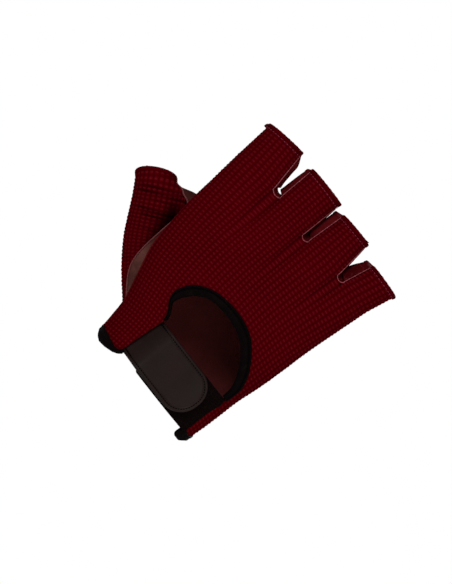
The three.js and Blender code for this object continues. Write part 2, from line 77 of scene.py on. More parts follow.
world = bpy.data.worlds.new("studio")
bpy.context.scene.world = world
world.use_nodes = True
nodes, links = world.node_tree.nodes, world.node_tree.links
nodes.clear()
world_out = nodes.new("ShaderNodeOutputWorld")
world_mix = nodes.new("ShaderNodeMixShader")
ray = nodes.new("ShaderNodeLightPath")
links.new(ray.outputs["Is Camera Ray"], world_mix.inputs["Fac"])
for number, strength in ((1, AMBIENT), (2, BACKDROP)):
    light = nodes.new("ShaderNodeBackground")
    light.inputs["Strength"].default_value = strength
    light.inputs["Color"].default_value = (1, 1, 1, 1)
    links.new(light.outputs[0], world_mix.inputs[number])
links.new(world_mix.outputs[0], world_out.inputs["Surface"])
print("backdrop", BACKDROP, "and light from all round", AMBIENT)

# %% Lamps and floor
LAMPS = [
    {"name": "key", "place": (-0.55, -0.95, 0.75), "size": 0.55, "power": 11.0},
    {"name": "fill", "place": (0.75, -0.8, 0.1), "size": 0.8, "power": 4.5},
    {"name": "palm_side", "place": (0.1, 1.0, 0.5), "size": 0.9, "power": 9.0},
]
LAMP_TARGET = Vector((-0.01, 0.0, 0.065))
FLOOR = {"left": -2, "right": 2, "front": -2.4, "back": 0.6, "z": -0.3}

for lamp in LAMPS:
    data = bpy.data.lights.new(lamp["name"], "AREA")
    data.shape = "DISK"
    data.size = lamp["size"]
    data.energy = lamp["power"]
    item = bpy.data.objects.new(lamp["name"], data)
    item.location = lamp["place"]
    item.rotation_euler = (LAMP_TARGET - item.location).to_track_quat("-Z", "Y").to_euler()
    bpy.context.scene.collection.objects.link(item)
sides = (("left", "front"), ("right", "front"), ("right", "back"), ("left", "back"))
floor_mesh = bpy.data.meshes.new("floor")
floor_mesh.from_pydata([(FLOOR[x], FLOOR[y], FLOOR["z"]) for x, y in sides], [], [(0, 1, 2, 3)])
floor = bpy.data.objects.new("floor", floor_mesh)
bpy.context.scene.collection.objects.link(floor)
bpy.context.scene.view_settings.view_transform = "Standard"
bpy.context.scene.view_settings.look = "None"
print("lamps:", ", ".join(lamp["name"] for lamp in LAMPS))

# %% [markdown]
# ## Materials as sums
# A pattern in a material is arithmetic on coordinates. It could be painted on an image, but an
# image blurs close up and doesn't follow a change of size. Nodes for arithmetic are tedious to
# place one by one, so a small class wraps a socket, and adding or multiplying two of them adds
# the Math node.

# %% Shader arithmetic
FULL_TURN = 6.28319


class Number:
    """A number on its way through a material's nodes."""

    def __init__(self, finish, socket):
        self.finish = finish
        self.socket = socket

    def math(self, operation, *others):
        return self.finish.node("ShaderNodeMath", {"operation": operation}, [self, *others])

    def __add__(self, other):
        return self.math("ADD", other)

    def __sub__(self, other):
        return self.math("SUBTRACT", other)

    def __rsub__(self, other):
        return self.finish.node("ShaderNodeMath", {"operation": "SUBTRACT"}, [other, self])

    def __mul__(self, other):
        return self.math("MULTIPLY", other)

    def __truediv__(self, other):
        return self.math("DIVIDE", other)

    def __pow__(self, other):
        return self.math("POWER", other)

    __radd__ = __add__
    __rmul__ = __mul__

    def fraction(self):
        return self.math("FRACT")

    def size(self):
        return self.math("ABSOLUTE")

    def wave(self):
        """One for whole numbers, zero halfway between them, and smooth in between."""
        return (self * FULL_TURN).math("COSINE") * 0.5 + 0.5

    def bell(self, width):
        """One where the number is zero, and smoothly less on either side of it."""
        return ((self / width) ** 2 * -1.0).math("EXPONENT")

    def upto(self, other):
        return self.math("MINIMUM", other)

    def share(self):
        """Kept between zero and one."""
        return self.upto(1.0).math("MAXIMUM", 0.0)

    def ramp(self, start, end, low=0.0, high=1.0):
        """Smooth step from low to high as the number goes from start to end."""
        settings = {"interpolation_type": "SMOOTHSTEP"}
        return self.finish.node("ShaderNodeMapRange", settings, [self, start, end, low, high])


class Finish:
    """A material while it is built."""

    def __init__(self, name):
        self.material = bpy.data.materials.new(name)
        self.material.use_nodes = True
        self.tree = self.material.node_tree
        self.tree.nodes.clear()

    def node(self, kind, settings=None, sockets=(), output=0):
        """One node: its settings first, then its sockets by order or by name."""
        item = self.tree.nodes.new(kind)
        for key, value in (settings or {}).items():
            setattr(item, key, value)
        pairs = sockets.items() if isinstance(sockets, dict) else enumerate(sockets)
        for key, value in pairs:
            if isinstance(value, Number):
                self.tree.links.new(value.socket, item.inputs[key])
            elif value is not None:
                item.inputs[key].default_value = value
        return Number(self, item.outputs[output])

    def colour(self, share, low, high):
        """A colour between two others, by a number from 0 to 1."""
        settings = {"data_type": "RGBA", "blend_type": "MIX", "clamp_factor": True}
        start = low if isinstance(low, Number) else linear(low)
        return self.node("ShaderNodeMix", settings, {0: share, 6: start, 7: linear(high)}, output=2)

    def parts(self, vector):
        """The x, y and z of a vector, as three numbers."""
        split = self.tree.nodes.new("ShaderNodeSeparateXYZ")
        self.tree.links.new(vector.socket, split.inputs[0])
        return [Number(self, output) for output in split.outputs]

    def pattern(self):
        """The piece's own pattern coordinates, as two numbers."""
        return self.parts(self.node("ShaderNodeUVMap", {"uv_map": "pattern"}))[:2]

    def place(self):
        """Object coordinates, in metres."""
        return self.node("ShaderNodeTexCoord", output=3)

    def noise(self, where, scale, detail=2.0, roughness=0.5):
        sockets = {"Vector": where, "Scale": scale, "Detail": detail, "Roughness": roughness}
        return self.node("ShaderNodeTexNoise", None, sockets)

    def cells(self, where, scale, feature="F1"):
        return self.node("ShaderNodeTexVoronoi", {"feature": feature}, {"Vector": where, "Scale": scale})

    def bump(self, height, strength, distance, normal=None):
        sockets = {"Height": height, "Strength": strength, "Distance": distance, "Normal": normal}
        return self.node("ShaderNodeBump", None, sockets)

    def done(self, **sockets):
        """The surface shader, with whatever its sockets are given."""
        named = {key.replace("_", " "): value for key, value in sockets.items()}
        shader = self.node("ShaderNodeBsdfPrincipled", None, named)
        out = self.tree.nodes.new("ShaderNodeOutputMaterial")
        self.tree.links.new(shader.socket, out.inputs["Surface"])
        return self.material


def linear(colour):
    """A colour written as eight-bit red, green and blue, as the shader wants it."""
    share = np.array(colour, float) / 255
    low = share / 12.92
    high = ((share + 0.055) / 1.055) ** 2.4
    return (*np.where(share <= 0.04045, low, high), 1.0)


print("shader arithmetic ready")

# %% [markdown]
# ## The glove's form
# The plain model follows a few tables: sections of the glove's body by height, two widths and
# heights for each finger stall, and sections of the thumb stall. The same kind of tables are
# written here, so that knit and leather can be laid on the same form. Shrinking a mesh onto the
# plain model would be quicker, but its ribs would then run as they like and not as knitted.

# %% Tables of the form
def table(heading, *rows):
    names = heading.split()
    return [dict(zip(names, row)) for row in rows]


BODY = table(
    "z radial ulnar back palm",
    (-9, -36.4, 36.4, 21.8, 23.8),
    (3, -36.6, 37.0, 21.3, 23.3),
    (12, -38.2, 37.6, 20.2, 22.2),
    (22, -40.7, 37.8, 19.4, 21.4),
    (35, -46.7, 37.9, 18.4, 20.6),
    (50, -53.8, 39.2, 17.4, 19.8),
    (65, -58.0, 39.8, 16.8, 19.0),
    (80, -60.8, 40.1, 16.3, 18.0),
    (98, -62.6, 41.2, 15.4, 16.2),
    (119, -64.8, 42.6, 13.8, 14.0),
)
FINGERS = table(
    "name left right left_z right_z top left2 right2 left_z2 right_z2 top2 "
    "left_edge right_edge left_web right_web",
    ("index", -64.6, -38.2, 117.5, 117.4, 12.8, -66.4, -44.2, 138.8, 142.6, 11.4, 0, 1, 0, 0.8),
    ("middle", -32.4, -10.3, 117.4, 114.7, 13.6, -33.4, -10.8, 141.6, 141.8, 11.8, 1, 1, 0.8, 6),
    ("ring", -5.5, 17.7, 114.7, 116.2, 13.2, -4.5, 14.5, 139.6, 140.2, 11.2, 1, 1, 6, 6),
    ("little", 22.4, 42.5, 116.2, 117.5, 11.6, 25.9, 45.4, 135.4, 134.6, 10.2, 1, 0, 6, 0),
)
THUMB = table(
    "i outer_x outer_z inner_x inner_z y half seam",
    (0, -30.0, 12.0, -16.0, 62.0, 9.0, 6.0, 12),
    (1, -41.0, 19.6, -24.0, 70.0, 12.5, 9.2, 22),
    (2, -55.9, 30.3, -33.0, 78.0, 15.6, 11.6, 36),
    (3, -67.8, 40.8, -44.2, 84.0, 17.4, 12.6, 80),
    (4, -76.0, 50.2, -54.6, 87.0, 18.4, 12.8, 119),
    (5, -82.2, 57.8, -63.0, 85.6, 19.0, 12.4, 128),
    (6, -88.0, 64.1, -71.2, 81.2, 19.6, 11.8, 158),
    (7, -92.0, 68.0, -75.4, 82.8, 20.0, 11.4, 170),
)
THUMB_LIP = {"start": 5, "height": 3.4, "x": -0.652, "z": 0.758}
THUMB_PALM_SEAM = -28
ROUNDNESS = 2.4
EDGE_HEIGHT = {"crotch": 8.6, "opening": 3.6}
WRIST_EDGE = {"side": 3.0, "tilt": 4.4, "depth": 22}
LOBES_START = 0.7
KNIT_WALL = 2.0
LEATHER_WALL = 1.6


def mix(start, end, share):
    return start + (end - start) * share


def unit(vectors):
    return vectors / np.maximum(np.linalg.norm(vectors, axis=-1, keepdims=True), 1e-9)


def lengths_along(points):
    """Length of a line from its first point to each of its points."""
    return np.r_[0, np.cumsum(np.linalg.norm(np.diff(points, axis=0), axis=1))]


def points_at(at, keys, points):
    """Places on a line of points, where each point has a key."""
    return np.stack([np.interp(at, keys, column) for column in points.T], -1)


def look_up(values, a, b):
    """A table's value between four of its entries."""
    i, j = a.astype(int), b.astype(int)
    low = mix(values[i, j], values[i + 1, j], a - i)
    high = mix(values[i, j + 1], values[i + 1, j + 1], a - i)
    return mix(low, high, b - j)


def ease(share):
    share = np.clip(share, 0, 1)
    return share * share * (3 - 2 * share)


def column_at(rows, key, column, at):
    """Smooth curve through one column of a table, at any places."""
    keys = np.array([row[key] for row in rows], float)
    values = np.array([row[column] for row in rows], float)
    low = np.clip(np.searchsorted(keys, at, side="right") - 1, 0, len(keys) - 2)
    high = low + 1
    before = np.maximum(low - 1, 0)
    after = np.minimum(low + 2, len(keys) - 1)
    span = keys[high] - keys[low]
    share = (at - keys[low]) / span
    low_slope = (values[high] - values[before]) / (keys[high] - keys[before]) * span
    high_slope = (values[after] - values[low]) / (keys[after] - keys[low]) * span
    square, cube = share**2, share**3
    start = values[low] * (2 * cube - 3 * square + 1) + low_slope * (cube - 2 * square + share)
    return start + values[high] * (3 * square - 2 * cube) + high_slope * (cube - square)


def body_section(z):
    """Middle and half width of the body's section at height z."""
    radial = column_at(BODY, "z", "radial", z)
    ulnar = column_at(BODY, "z", "ulnar", z)
    return (radial + ulnar) / 2, (ulnar - radial) / 2


def body_depth(side, across, z):
    """How far the body stands out of its middle plane, on the back (-1) or the palm (1)."""
    back = column_at(BODY, "z", "back", z)
    palm = column_at(BODY, "z", "palm", z)
    round_share = (1 - np.minimum(1, np.abs(across)) ** ROUNDNESS) ** (1 / ROUNDNESS)
    return np.where(np.asarray(side) < 0, back, palm) * round_share


def round_section(angle):
    """Shares across and out of the section: half a turn over the back, half over the palm."""
    across = -np.sign(np.cos(angle)) * np.abs(np.cos(angle)) ** (2 / ROUNDNESS)
    depth = np.sign(np.sin(angle)) * np.abs(np.sin(angle)) ** (2 / ROUNDNESS)
    return across, depth


RIBS = {"depth_share": 0.5, "radial_crowd": 0.12, "ulnar_crowd": 0.05}
SEAM = {"near": 0.3, "blend": 0.8}


def section_angle(across, side):
    turned = np.arccos(-np.sign(across) * np.abs(across) ** (ROUNDNESS / 2))
    return np.where(side < 0, turned, 2 * np.pi - turned)


def closed_at_seam(angle):
    """Angles along a sheet, with an end that lies near the radial seam moved onto it."""
    near, blend, far_blend = SEAM["near"], SEAM["blend"], 2 * np.pi - SEAM["blend"]
    if angle[0] < near:
        angle = np.where(angle < blend, np.interp(angle, [angle[0], blend], [0, blend]), angle)
    if angle[-1] > 2 * np.pi - near:
        moved = np.interp(angle, [far_blend, angle[-1]], [far_blend, 2 * np.pi])
        angle = np.where(angle > far_blend, moved, angle)
    return angle


def wrist_z(side, across):
    """Height of the wrist edge, which lies lower on the back than on the palm."""
    depth = side * body_depth(side, across, np.full(np.shape(across), float(WRIST_EDGE["side"])))
    return WRIST_EDGE["side"] + WRIST_EDGE["tilt"] * depth / WRIST_EDGE["depth"]


def stall_point(side, finger, turn, along):
    """A point of a finger stall. turn goes from -1 to 1 across it, along from crotch to opening."""
    turn, along, side = np.broadcast_arrays(np.asarray(turn, float), along, side)
    across = (np.sin(turn * np.pi / 2) + 1) / 2
    web = finger["left_web"] * (1 - across) ** 3 + finger["right_web"] * across**3
    low_z = mix(finger["left_z"], finger["right_z"], across) + np.where(side > 0, web, 0)
    low_x = mix(finger["left"], finger["right"], across)
    x = mix(low_x, mix(finger["left2"], finger["right2"], across), along)
    z = mix(low_z, mix(finger["left_z2"], finger["right_z2"], across), along)
    edge = mix(EDGE_HEIGHT["crotch"], EDGE_HEIGHT["opening"], ease(along))
    edge = edge * np.where(turn < 0, finger["left_edge"], finger["right_edge"])
    top = mix(finger["top"], finger["top2"], along)
    height = edge + (top - edge) * np.cos(turn * np.pi / 2)
    return np.stack([x, side * height, z], axis=-1)


def thumb_point(turn, i, lip=1):
    """A point of the thumb stall. turn is in degrees from its outer edge over the back."""
    last = THUMB[-1]["i"]
    inside = np.minimum(i, last)
    past = np.maximum(i - last, 0)
    angle = np.radians(turn)
    here = {}
    for name in ("outer_x", "outer_z", "inner_x", "inner_z", "y", "half"):
        end = column_at(THUMB, "i", name, np.array(float(last)))
        slope = end - column_at(THUMB, "i", name, np.array(last - 1.0))
        here[name] = column_at(THUMB, "i", name, inside) + slope * past
    x, z = [
        (here["outer" + axis] + here["inner" + axis]) / 2
        + (here["outer" + axis] - here["inner" + axis]) / 2 * np.cos(angle)
        for axis in ("_x", "_z")
    ]
    grows = ease((i - THUMB_LIP["start"]) / (last - THUMB_LIP["start"]))
    reach = lip * THUMB_LIP["height"] * np.maximum(0, np.sin(angle)) * grows
    x, z = x + THUMB_LIP["x"] * reach, z + THUMB_LIP["z"] * reach
    return np.stack([x, here["y"] - here["half"] * np.sin(angle), z], axis=-1)


print("form ready:", len(BODY), "sections,", len(FINGERS), "stalls,", len(THUMB), "thumb sections")

# %% [markdown]
# ## One side of the glove as a sheet
# Knit and leather are flat sheets, cut with slits between the stalls. Counting ribs across
# (u) and rows along the glove (v) gives every place on such a sheet a pair of numbers, and the
# sheet can then be laid on the form rib by rib. Between two stalls one rib is cut out above
# the crotch. Below it the ribs spread evenly over the glove.

# %% A sheet on the glove
SAMPLES = {"turns": 61, "rows": 45, "angles": 900, "table": 433}


class BodySheet:
    """Ribs and rows of one side of the glove, laid on the form."""

    def __init__(self, runs, slit_ribs, row_pitch, arch, arch_middle, stall_arch):
        self.runs = []
        self.row_pitch = row_pitch
        profile, u, length = [], 0.0, 0.0
        for index, run in enumerate(runs):
            finger = FINGERS[run["finger"]]
            new_finger = index > 0 and runs[index - 1]["finger"] != run["finger"]
            turns = np.linspace(run["turns"][0], run["turns"][1], SAMPLES["turns"])
            points = stall_point(run["side"], finger, turns, 0.0)
            if new_finger:
                length += np.linalg.norm(points[0] - profile[-1][0][-1])
                u += slit_ribs
            lengths = lengths_along(points)
            ribs = u + run["ribs"] * lengths / lengths[-1]
            self.runs.append({**run, "u0": u, "u1": u + run["ribs"], "u": ribs, "turn": turns})
            profile.append((points, np.full(len(turns), run["side"]), ribs))
            u += run["ribs"]
            length += lengths[-1]
        self.ribs, self.length = u, length
        self.points, side, self.u = [np.concatenate(parts) for parts in zip(*profile)]
        middle, half = body_section(self.points[:, 2])
        across = np.clip((self.points[:, 0] - middle) / half, -1, 1)
        self.angle = closed_at_seam(np.maximum.accumulate(section_angle(across, side)))
        self._spread_ribs()
        self.slits = [(a["u1"], b["u0"]) for a, b in zip(self.runs, self.runs[1:]) if b["u0"] > a["u1"]]
        self.arch, self.arch_middle, self.stall_arch = arch, arch_middle, stall_arch
        self._fill_table()

    def _spread_ribs(self):
        """The section's angle at every rib and row, with the ribs evenly spread."""
        self.table_row = np.linspace(-0.1, 1, SAMPLES["rows"])
        self.table_angle = np.zeros((int(self.ribs) * 4 + 1, len(self.table_row)))
        angle = np.linspace(self.angle[0], self.angle[-1], SAMPLES["angles"])
        across, depth = round_section(angle)
        for k, row in enumerate(self.table_row):
            z = np.full(len(angle), mix(WRIST_EDGE["side"], self.points[:, 2].mean(), row))
            middle, half = body_section(z)
            y = -np.where(depth > 0, column_at(BODY, "z", "back", z), column_at(BODY, "z", "palm", z)) * depth
            outward = (across[1:] + across[:-1]) / 2
            radial = RIBS["radial_crowd"] * np.clip(-outward, 0, 1)
            crowd = 1 + (1 - row) * (radial + RIBS["ulnar_crowd"] * np.clip(outward, 0, 1))
            steps = np.hypot(np.diff(middle + half * across), np.diff(y) * RIBS["depth_share"]) * crowd
            length = np.r_[0, np.cumsum(steps)]
            even = np.linspace(0, length[-1], len(self.table_angle))
            self.table_angle[:, k] = np.interp(even, length, angle)

    def even_angle(self, u, row):
        a = np.clip(u / self.ribs, 0, 1) * (len(self.table_angle) - 1.001)
        b = np.clip((row + 0.1) / 1.1, 0, 1) * (len(self.table_row) - 1.001)
        return look_up(self.table_angle, a, b)

    def at_row(self, u, row):
        """Places at ribs u. Rows go from 0 at the wrist over 1 at the crotch to 2 at the opening."""
        u, row = np.broadcast_arrays(np.clip(u, 0, self.ribs), np.asarray(row, float))
        fixed = np.interp(u, self.u, self.angle)
        angle = mix(self.even_angle(u, row), fixed, ease((row - 0.5) / 0.5))
        across, depth = round_section(angle)
        side = np.where(depth > 0, -1, 1)
        crotch_y = np.interp(angle, self.angle, self.points[:, 1])
        crotch_z = np.interp(angle, self.angle, self.points[:, 2])
        z = mix(wrist_z(side, across), crotch_z, row)
        middle, half = body_section(z)
        lobes = ease((row - LOBES_START) / (1 - LOBES_START))
        y = mix(side * body_depth(side, across, z), crotch_y, lobes)
        low = np.stack([middle + half * across, y, z], axis=-1)
        high = np.zeros_like(low)
        along = np.maximum(row - 1, 0)
        for run in self.runs:
            here = (u >= run["u0"]) & (u <= run["u1"])
            turn = np.interp(u[here], run["u"], run["turn"])
            high[here] = stall_point(run["side"], FINGERS[run["finger"]], turn, along[here])
        for before, after in zip(self.runs, self.runs[1:]):
            start, end = before["u1"], after["u0"]
            here = (u > start) & (u < end)
            left, right = [
                stall_point(run["side"], FINGERS[run["finger"]], turn, along[here])
                for run, turn in ((before, before["turns"][1]), (after, after["turns"][0]))
            ]
            high[here] = mix(left, right, ((u[here] - start) / max(end - start, 1e-9))[:, None])
        return np.where((row >= 1)[..., None], high, low)

    def row_number(self, u, row):
        """The knit row through a place: rows arch over the glove and over each stall."""
        place = self.at_row(u, row)
        x = np.interp(u, self.u, self.points[:, 0])
        whole = self.arch * (x - self.arch_middle) ** 2
        stall = np.array(whole)
        for run, (bend, lean) in zip(self.runs, self.stall_arch):
            finger = FINGERS[run["finger"]]
            middle = (finger["left"] + finger["right"]) / 2
            own = self.arch * (middle - self.arch_middle) ** 2
            own = own + lean * (x - middle) + bend * (x - middle) ** 2
            stall = np.where((u >= run["u0"]) & (u <= run["u1"]), own, stall)
        return (place[..., 2] + mix(whole, stall, ease((row - 0.9) / 0.4))) / self.row_pitch

    def _fill_table(self):
        """Which row each rib reaches at each knit row, kept as a table to look up."""
        self.table_u = np.linspace(0, self.ribs, int(round(self.ribs * 6)) + 1)
        rows = np.linspace(-0.06, 2.1, SAMPLES["table"])
        numbers = self.row_number(self.table_u[:, None], rows[None, :])
        self.first = int(np.floor(numbers.min()))
        self.last = int(np.ceil(numbers.max()))
        self.table_v = np.linspace(self.first, self.last, (self.last - self.first) * 5 + 1)
        self.rows = np.array([np.interp(self.table_v, line, rows) for line in numbers])

    def row_at(self, u, v):
        a = np.clip(u / self.ribs * (len(self.table_u) - 1), 0, len(self.table_u) - 1.001)
        b = np.clip((v - self.first) * 5, 0, len(self.table_v) - 1.001)
        return look_up(self.rows, a, b)

    def surface(self, u, v):
        return self.at_row(u, self.row_at(u, v))


# %% [markdown]
# ## Cutting a sheet out of its cells
# Every sheet is made of cells, one for each stitch of the knit or each few millimetres of
# leather. A limit says how far a place is inside the piece. Cells whose middle is outside are
# left out, and the corners along the cut are moved onto it. Each cell gets fine faces on its
# outer side, which carry the relief, and one face on its inner side. Walls close the edge.

# %% Sheet builder
CUT = {"probe": 0.05, "least": 0.05, "level": 1e9, "farthest": 0.62, "rounds": 3}


def corners_onto_limit(kind, limit, inside, corners, shift, pitch):
    """Moves the corners beside a limit onto it. Limits are in millimetres, shifts in cells."""
    pad = np.pad(inside, 1, mode="edge")
    near = np.stack([pad[:-1, :-1], pad[1:, :-1], pad[:-1, 1:], pad[1:, 1:]])
    if kind == "rows":
        beside = (near[0] != near[2]) | (near[1] != near[3])
    else:
        beside = near.any(0) & ~near.all(0)
    probe = CUT["probe"]
    for _ in range(CUT["rounds"]):
        u, v = [corner[beside] + shift[beside][:, k] for k, corner in enumerate(corners)]
        value = limit(u, v)
        slope_v = (limit(u, v + probe) - limit(u, v - probe)) / (2 * probe) / pitch[1]
        if kind == "rows":
            move_v = -value / np.where(np.abs(slope_v) < CUT["least"], CUT["level"], slope_v)
            move_u = np.zeros_like(move_v)
        else:
            slope_u = (limit(u + probe, v) - limit(u - probe, v)) / (2 * probe) / pitch[0]
            steep = np.maximum(slope_u**2 + slope_v**2, CUT["least"])
            move_u, move_v = -value * slope_u / steep, -value * slope_v / steep
        move = np.stack([move_u / pitch[0], move_v / pitch[1]], -1)
        shift[beside] = np.clip(shift[beside] + move, -CUT["farthest"], CUT["farthest"])


def edge_walls(present, fine, across, along, count):
    """Faces along the cut, from the fine corners outside to the cells' corners inside."""
    faces = []
    around = np.pad(present, 1)
    for a, b in zip(*np.nonzero(present)):
        i0, i1, j0, j1 = a * across, (a + 1) * across, b * along, (b + 1) * along
        sides = (
            (around[a + 1, b], fine[i0 : i1 + 1, j0]),
            (around[a + 2, b + 1], fine[i1, j0 : j1 + 1]),
            (around[a + 1, b + 2], fine[i0 : i1 + 1, j1][::-1]),
            (around[a, b + 1], fine[i0, j0 : j1 + 1][::-1]),
        )
        for chain in [chain for neighbour, chain in sides if not neighbour]:
            low, high = chain[0] + count, chain[-1] + count
            middle = len(chain) // 2
            for k in range(len(chain) - 1):
                foot = low if k < middle else high
                faces.append((chain[k + 1], chain[k], foot))
                if k == middle:
                    faces.append((chain[k], low, high))
    return faces


def build_sheet(name, surface, size, steps, limits, wall, relief, bend=None, jitter=0.0, seed=1,
                pitch=(3.4, 2.0)):
    """A closed sheet of size cells, each with steps faces. limits are (kind, function) pairs."""
    (u_first, wide), (v_first, tall) = size
    across, along = steps
    u_corners, v_corners = u_first + np.arange(wide + 1.0), v_first + np.arange(tall + 1.0)
    cells = np.meshgrid(u_corners[:-1] + 0.5, v_corners[:-1] + 0.5, indexing="ij")
    corners = np.meshgrid(u_corners, v_corners, indexing="ij")
    present = np.ones((wide, tall), bool)
    shift = np.random.default_rng(seed).uniform(-jitter, jitter, (wide + 1, tall + 1, 2))
    for kind, limit in limits:
        inside = limit(*cells) > 0
        present &= inside
        corners_onto_limit(kind, limit, inside, corners, shift, pitch)
    fine_u, fine_v = np.linspace(0, wide, wide * across + 1), np.linspace(0, tall, tall * along + 1)
    grid_u, grid_v = np.meshgrid(fine_u, fine_v, indexing="ij")
    i = np.minimum(grid_u.astype(int), wide - 1)
    j = np.minimum(grid_v.astype(int), tall - 1)
    s, t = grid_u - i, grid_v - j
    low = mix(shift[i, j], shift[i + 1, j], s[..., None])
    high = mix(shift[i, j + 1], shift[i + 1, j + 1], s[..., None])
    moved = mix(low, high, t[..., None])
    u = u_first + grid_u + moved[..., 0]
    v = v_first + grid_v + moved[..., 1]
    if bend is not None:
        v = v + bend(s, t)
    base = surface(u, v)
    flat = base.reshape(-1, 3)
    count = len(flat)
    fine = np.arange(count).reshape(base.shape[:2])
    cells_here = np.repeat(np.repeat(present, across, 0), along, 1)
    quads = np.stack([fine[:-1, :-1], fine[1:, :-1], fine[1:, 1:], fine[:-1, 1:]], -1)[cells_here]
    face_normal = unit(np.cross(flat[quads[:, 2]] - flat[quads[:, 0]], flat[quads[:, 3]] - flat[quads[:, 1]]))
    normals = np.zeros_like(flat)
    for k in range(4):
        np.add.at(normals, quads[:, k], face_normal)
    normals = unit(normals)
    outer = flat + normals * relief(u, v, s, t, i, j, base).reshape(-1, 1)
    inner = flat - normals * wall
    corner = fine[::across, ::along] + count
    lining = np.stack([corner[:-1, :-1], corner[:-1, 1:], corner[1:, 1:], corner[1:, :-1]], -1)[present]
    faces = [tuple(quad) for quad in quads] + [tuple(quad) for quad in lining]
    faces += edge_walls(present, fine, across, along, count)
    uv = np.stack([u.ravel(), v.ravel()], -1)
    return sheet_object(name, np.concatenate([outer, inner]), faces, np.concatenate([uv, uv]),
                        (len(quads), len(quads) + len(lining)))


def sheet_object(name, points, faces, uv, lining=(0, 0)):
    """A mesh object from points in millimetres. Faces of the lining take the second material."""
    sizes = np.array([len(face) for face in faces])
    flat = np.concatenate([np.asarray(face) for face in faces])
    used, index = np.unique(flat, return_inverse=True)
    mesh = bpy.data.meshes.new(name)
    mesh.vertices.add(len(used))
    mesh.vertices.foreach_set("co", (points[used] * MM).astype(np.float32).ravel())
    mesh.loops.add(len(index))
    mesh.loops.foreach_set("vertex_index", index.astype(np.int32))
    mesh.polygons.add(len(sizes))
    starts = np.r_[0, np.cumsum(sizes)[:-1]]
    mesh.polygons.foreach_set("loop_start", starts.astype(np.int32))
    number = np.arange(len(sizes))
    on_lining = (number >= lining[0]) & (number < lining[1])
    mesh.polygons.foreach_set("material_index", on_lining.astype(np.int32))
    layer = mesh.uv_layers.new(name="pattern")
    layer.data.foreach_set("uv", uv[used][index].astype(np.float32).ravel())
    mesh.validate()
    mesh.update()
    mesh.shade_smooth()
    item = bpy.data.objects.new(name, mesh)
    bpy.context.scene.collection.objects.link(item)
    print(name, "has", sum(sizes - 2), "triangles")
    return item


def hand_over(item, slot, nodes, *materials):
    """Gives a piece its materials and puts it in the place of plain parts."""
    for material in materials:
        item.data.materials.append(material)
    if nodes:
        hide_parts(*nodes)
    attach(item, "root")


def distance_to_outline(x, z, outline):
    """Distance to a closed outline in the plane of the back: positive outside it."""
    start = np.asarray(outline, float)
    end = np.roll(start, -1, axis=0)
    point = np.stack([np.ravel(x), np.ravel(z)], -1)
    best = np.full(len(point), 1e9)
    crossings = np.zeros(len(point), int)
    for a, b in zip(start, end):
        edge = b - a
        share = np.clip(((point - a) @ edge) / (edge @ edge), 0, 1)
        best = np.minimum(best, np.linalg.norm(point - a - share[:, None] * edge, axis=1))
        spans = (a[1] > point[:, 1]) != (b[1] > point[:, 1])
        rise = np.where(abs(edge[1]) < 1e-9, 1e-9, edge[1])
        meets = a[0] + (point[:, 1] - a[1]) / rise * edge[0]
        crossings += spans & (point[:, 0] < meets)
    return np.where(crossings % 2 == 1, -best, best).reshape(np.shape(x))


def smooth_curve(points, count):
    """A smooth curve through points, evenly spaced along it."""
    points = np.asarray(points, float)
    keys = lengths_along(points)
    dense = np.linspace(0, keys[-1], count * 6)
    columns = []
    for column in points.T:
        rows = [{"at": key, "value": value} for key, value in zip(keys, column)]
        columns.append(column_at(rows, "at", "value", dense))
    line = np.stack(columns, -1)
    length = lengths_along(line)
    return points_at(np.linspace(0, length[-1], count), length, line)


print("sheet builder ready")

# %% [markdown]
# ## Knit
# The back is a thick knit. Its stitches stand in ribs along the glove, about 3 mm apart, with a
# furrow between two ribs. Every 2 mm along a rib there is one rounded stitch, arched towards
# the finger ends. The furrows and stitches could be a bump in the material alone, but the light
# falls along them, so they are real relief. The yarn's plies and fluff are finer than the
# faces, so the material adds them, in the same stitch coordinates. The material also paints
# shade into the furrows and between the stitches, and a painted highlight on each stitch's crown.

# %% Knit material
# furrow is painted shade for the furrows and the gaps between stitches, light is a painted highlight for the
# stitch crowns, shade is the colour of painted shadow, and face is the yarn's own red.
KNIT = {"furrow": (42, 0, 2), "face": (66, 0, 4), "light": (84, 14, 20), "shade": (8, 0, 1)}


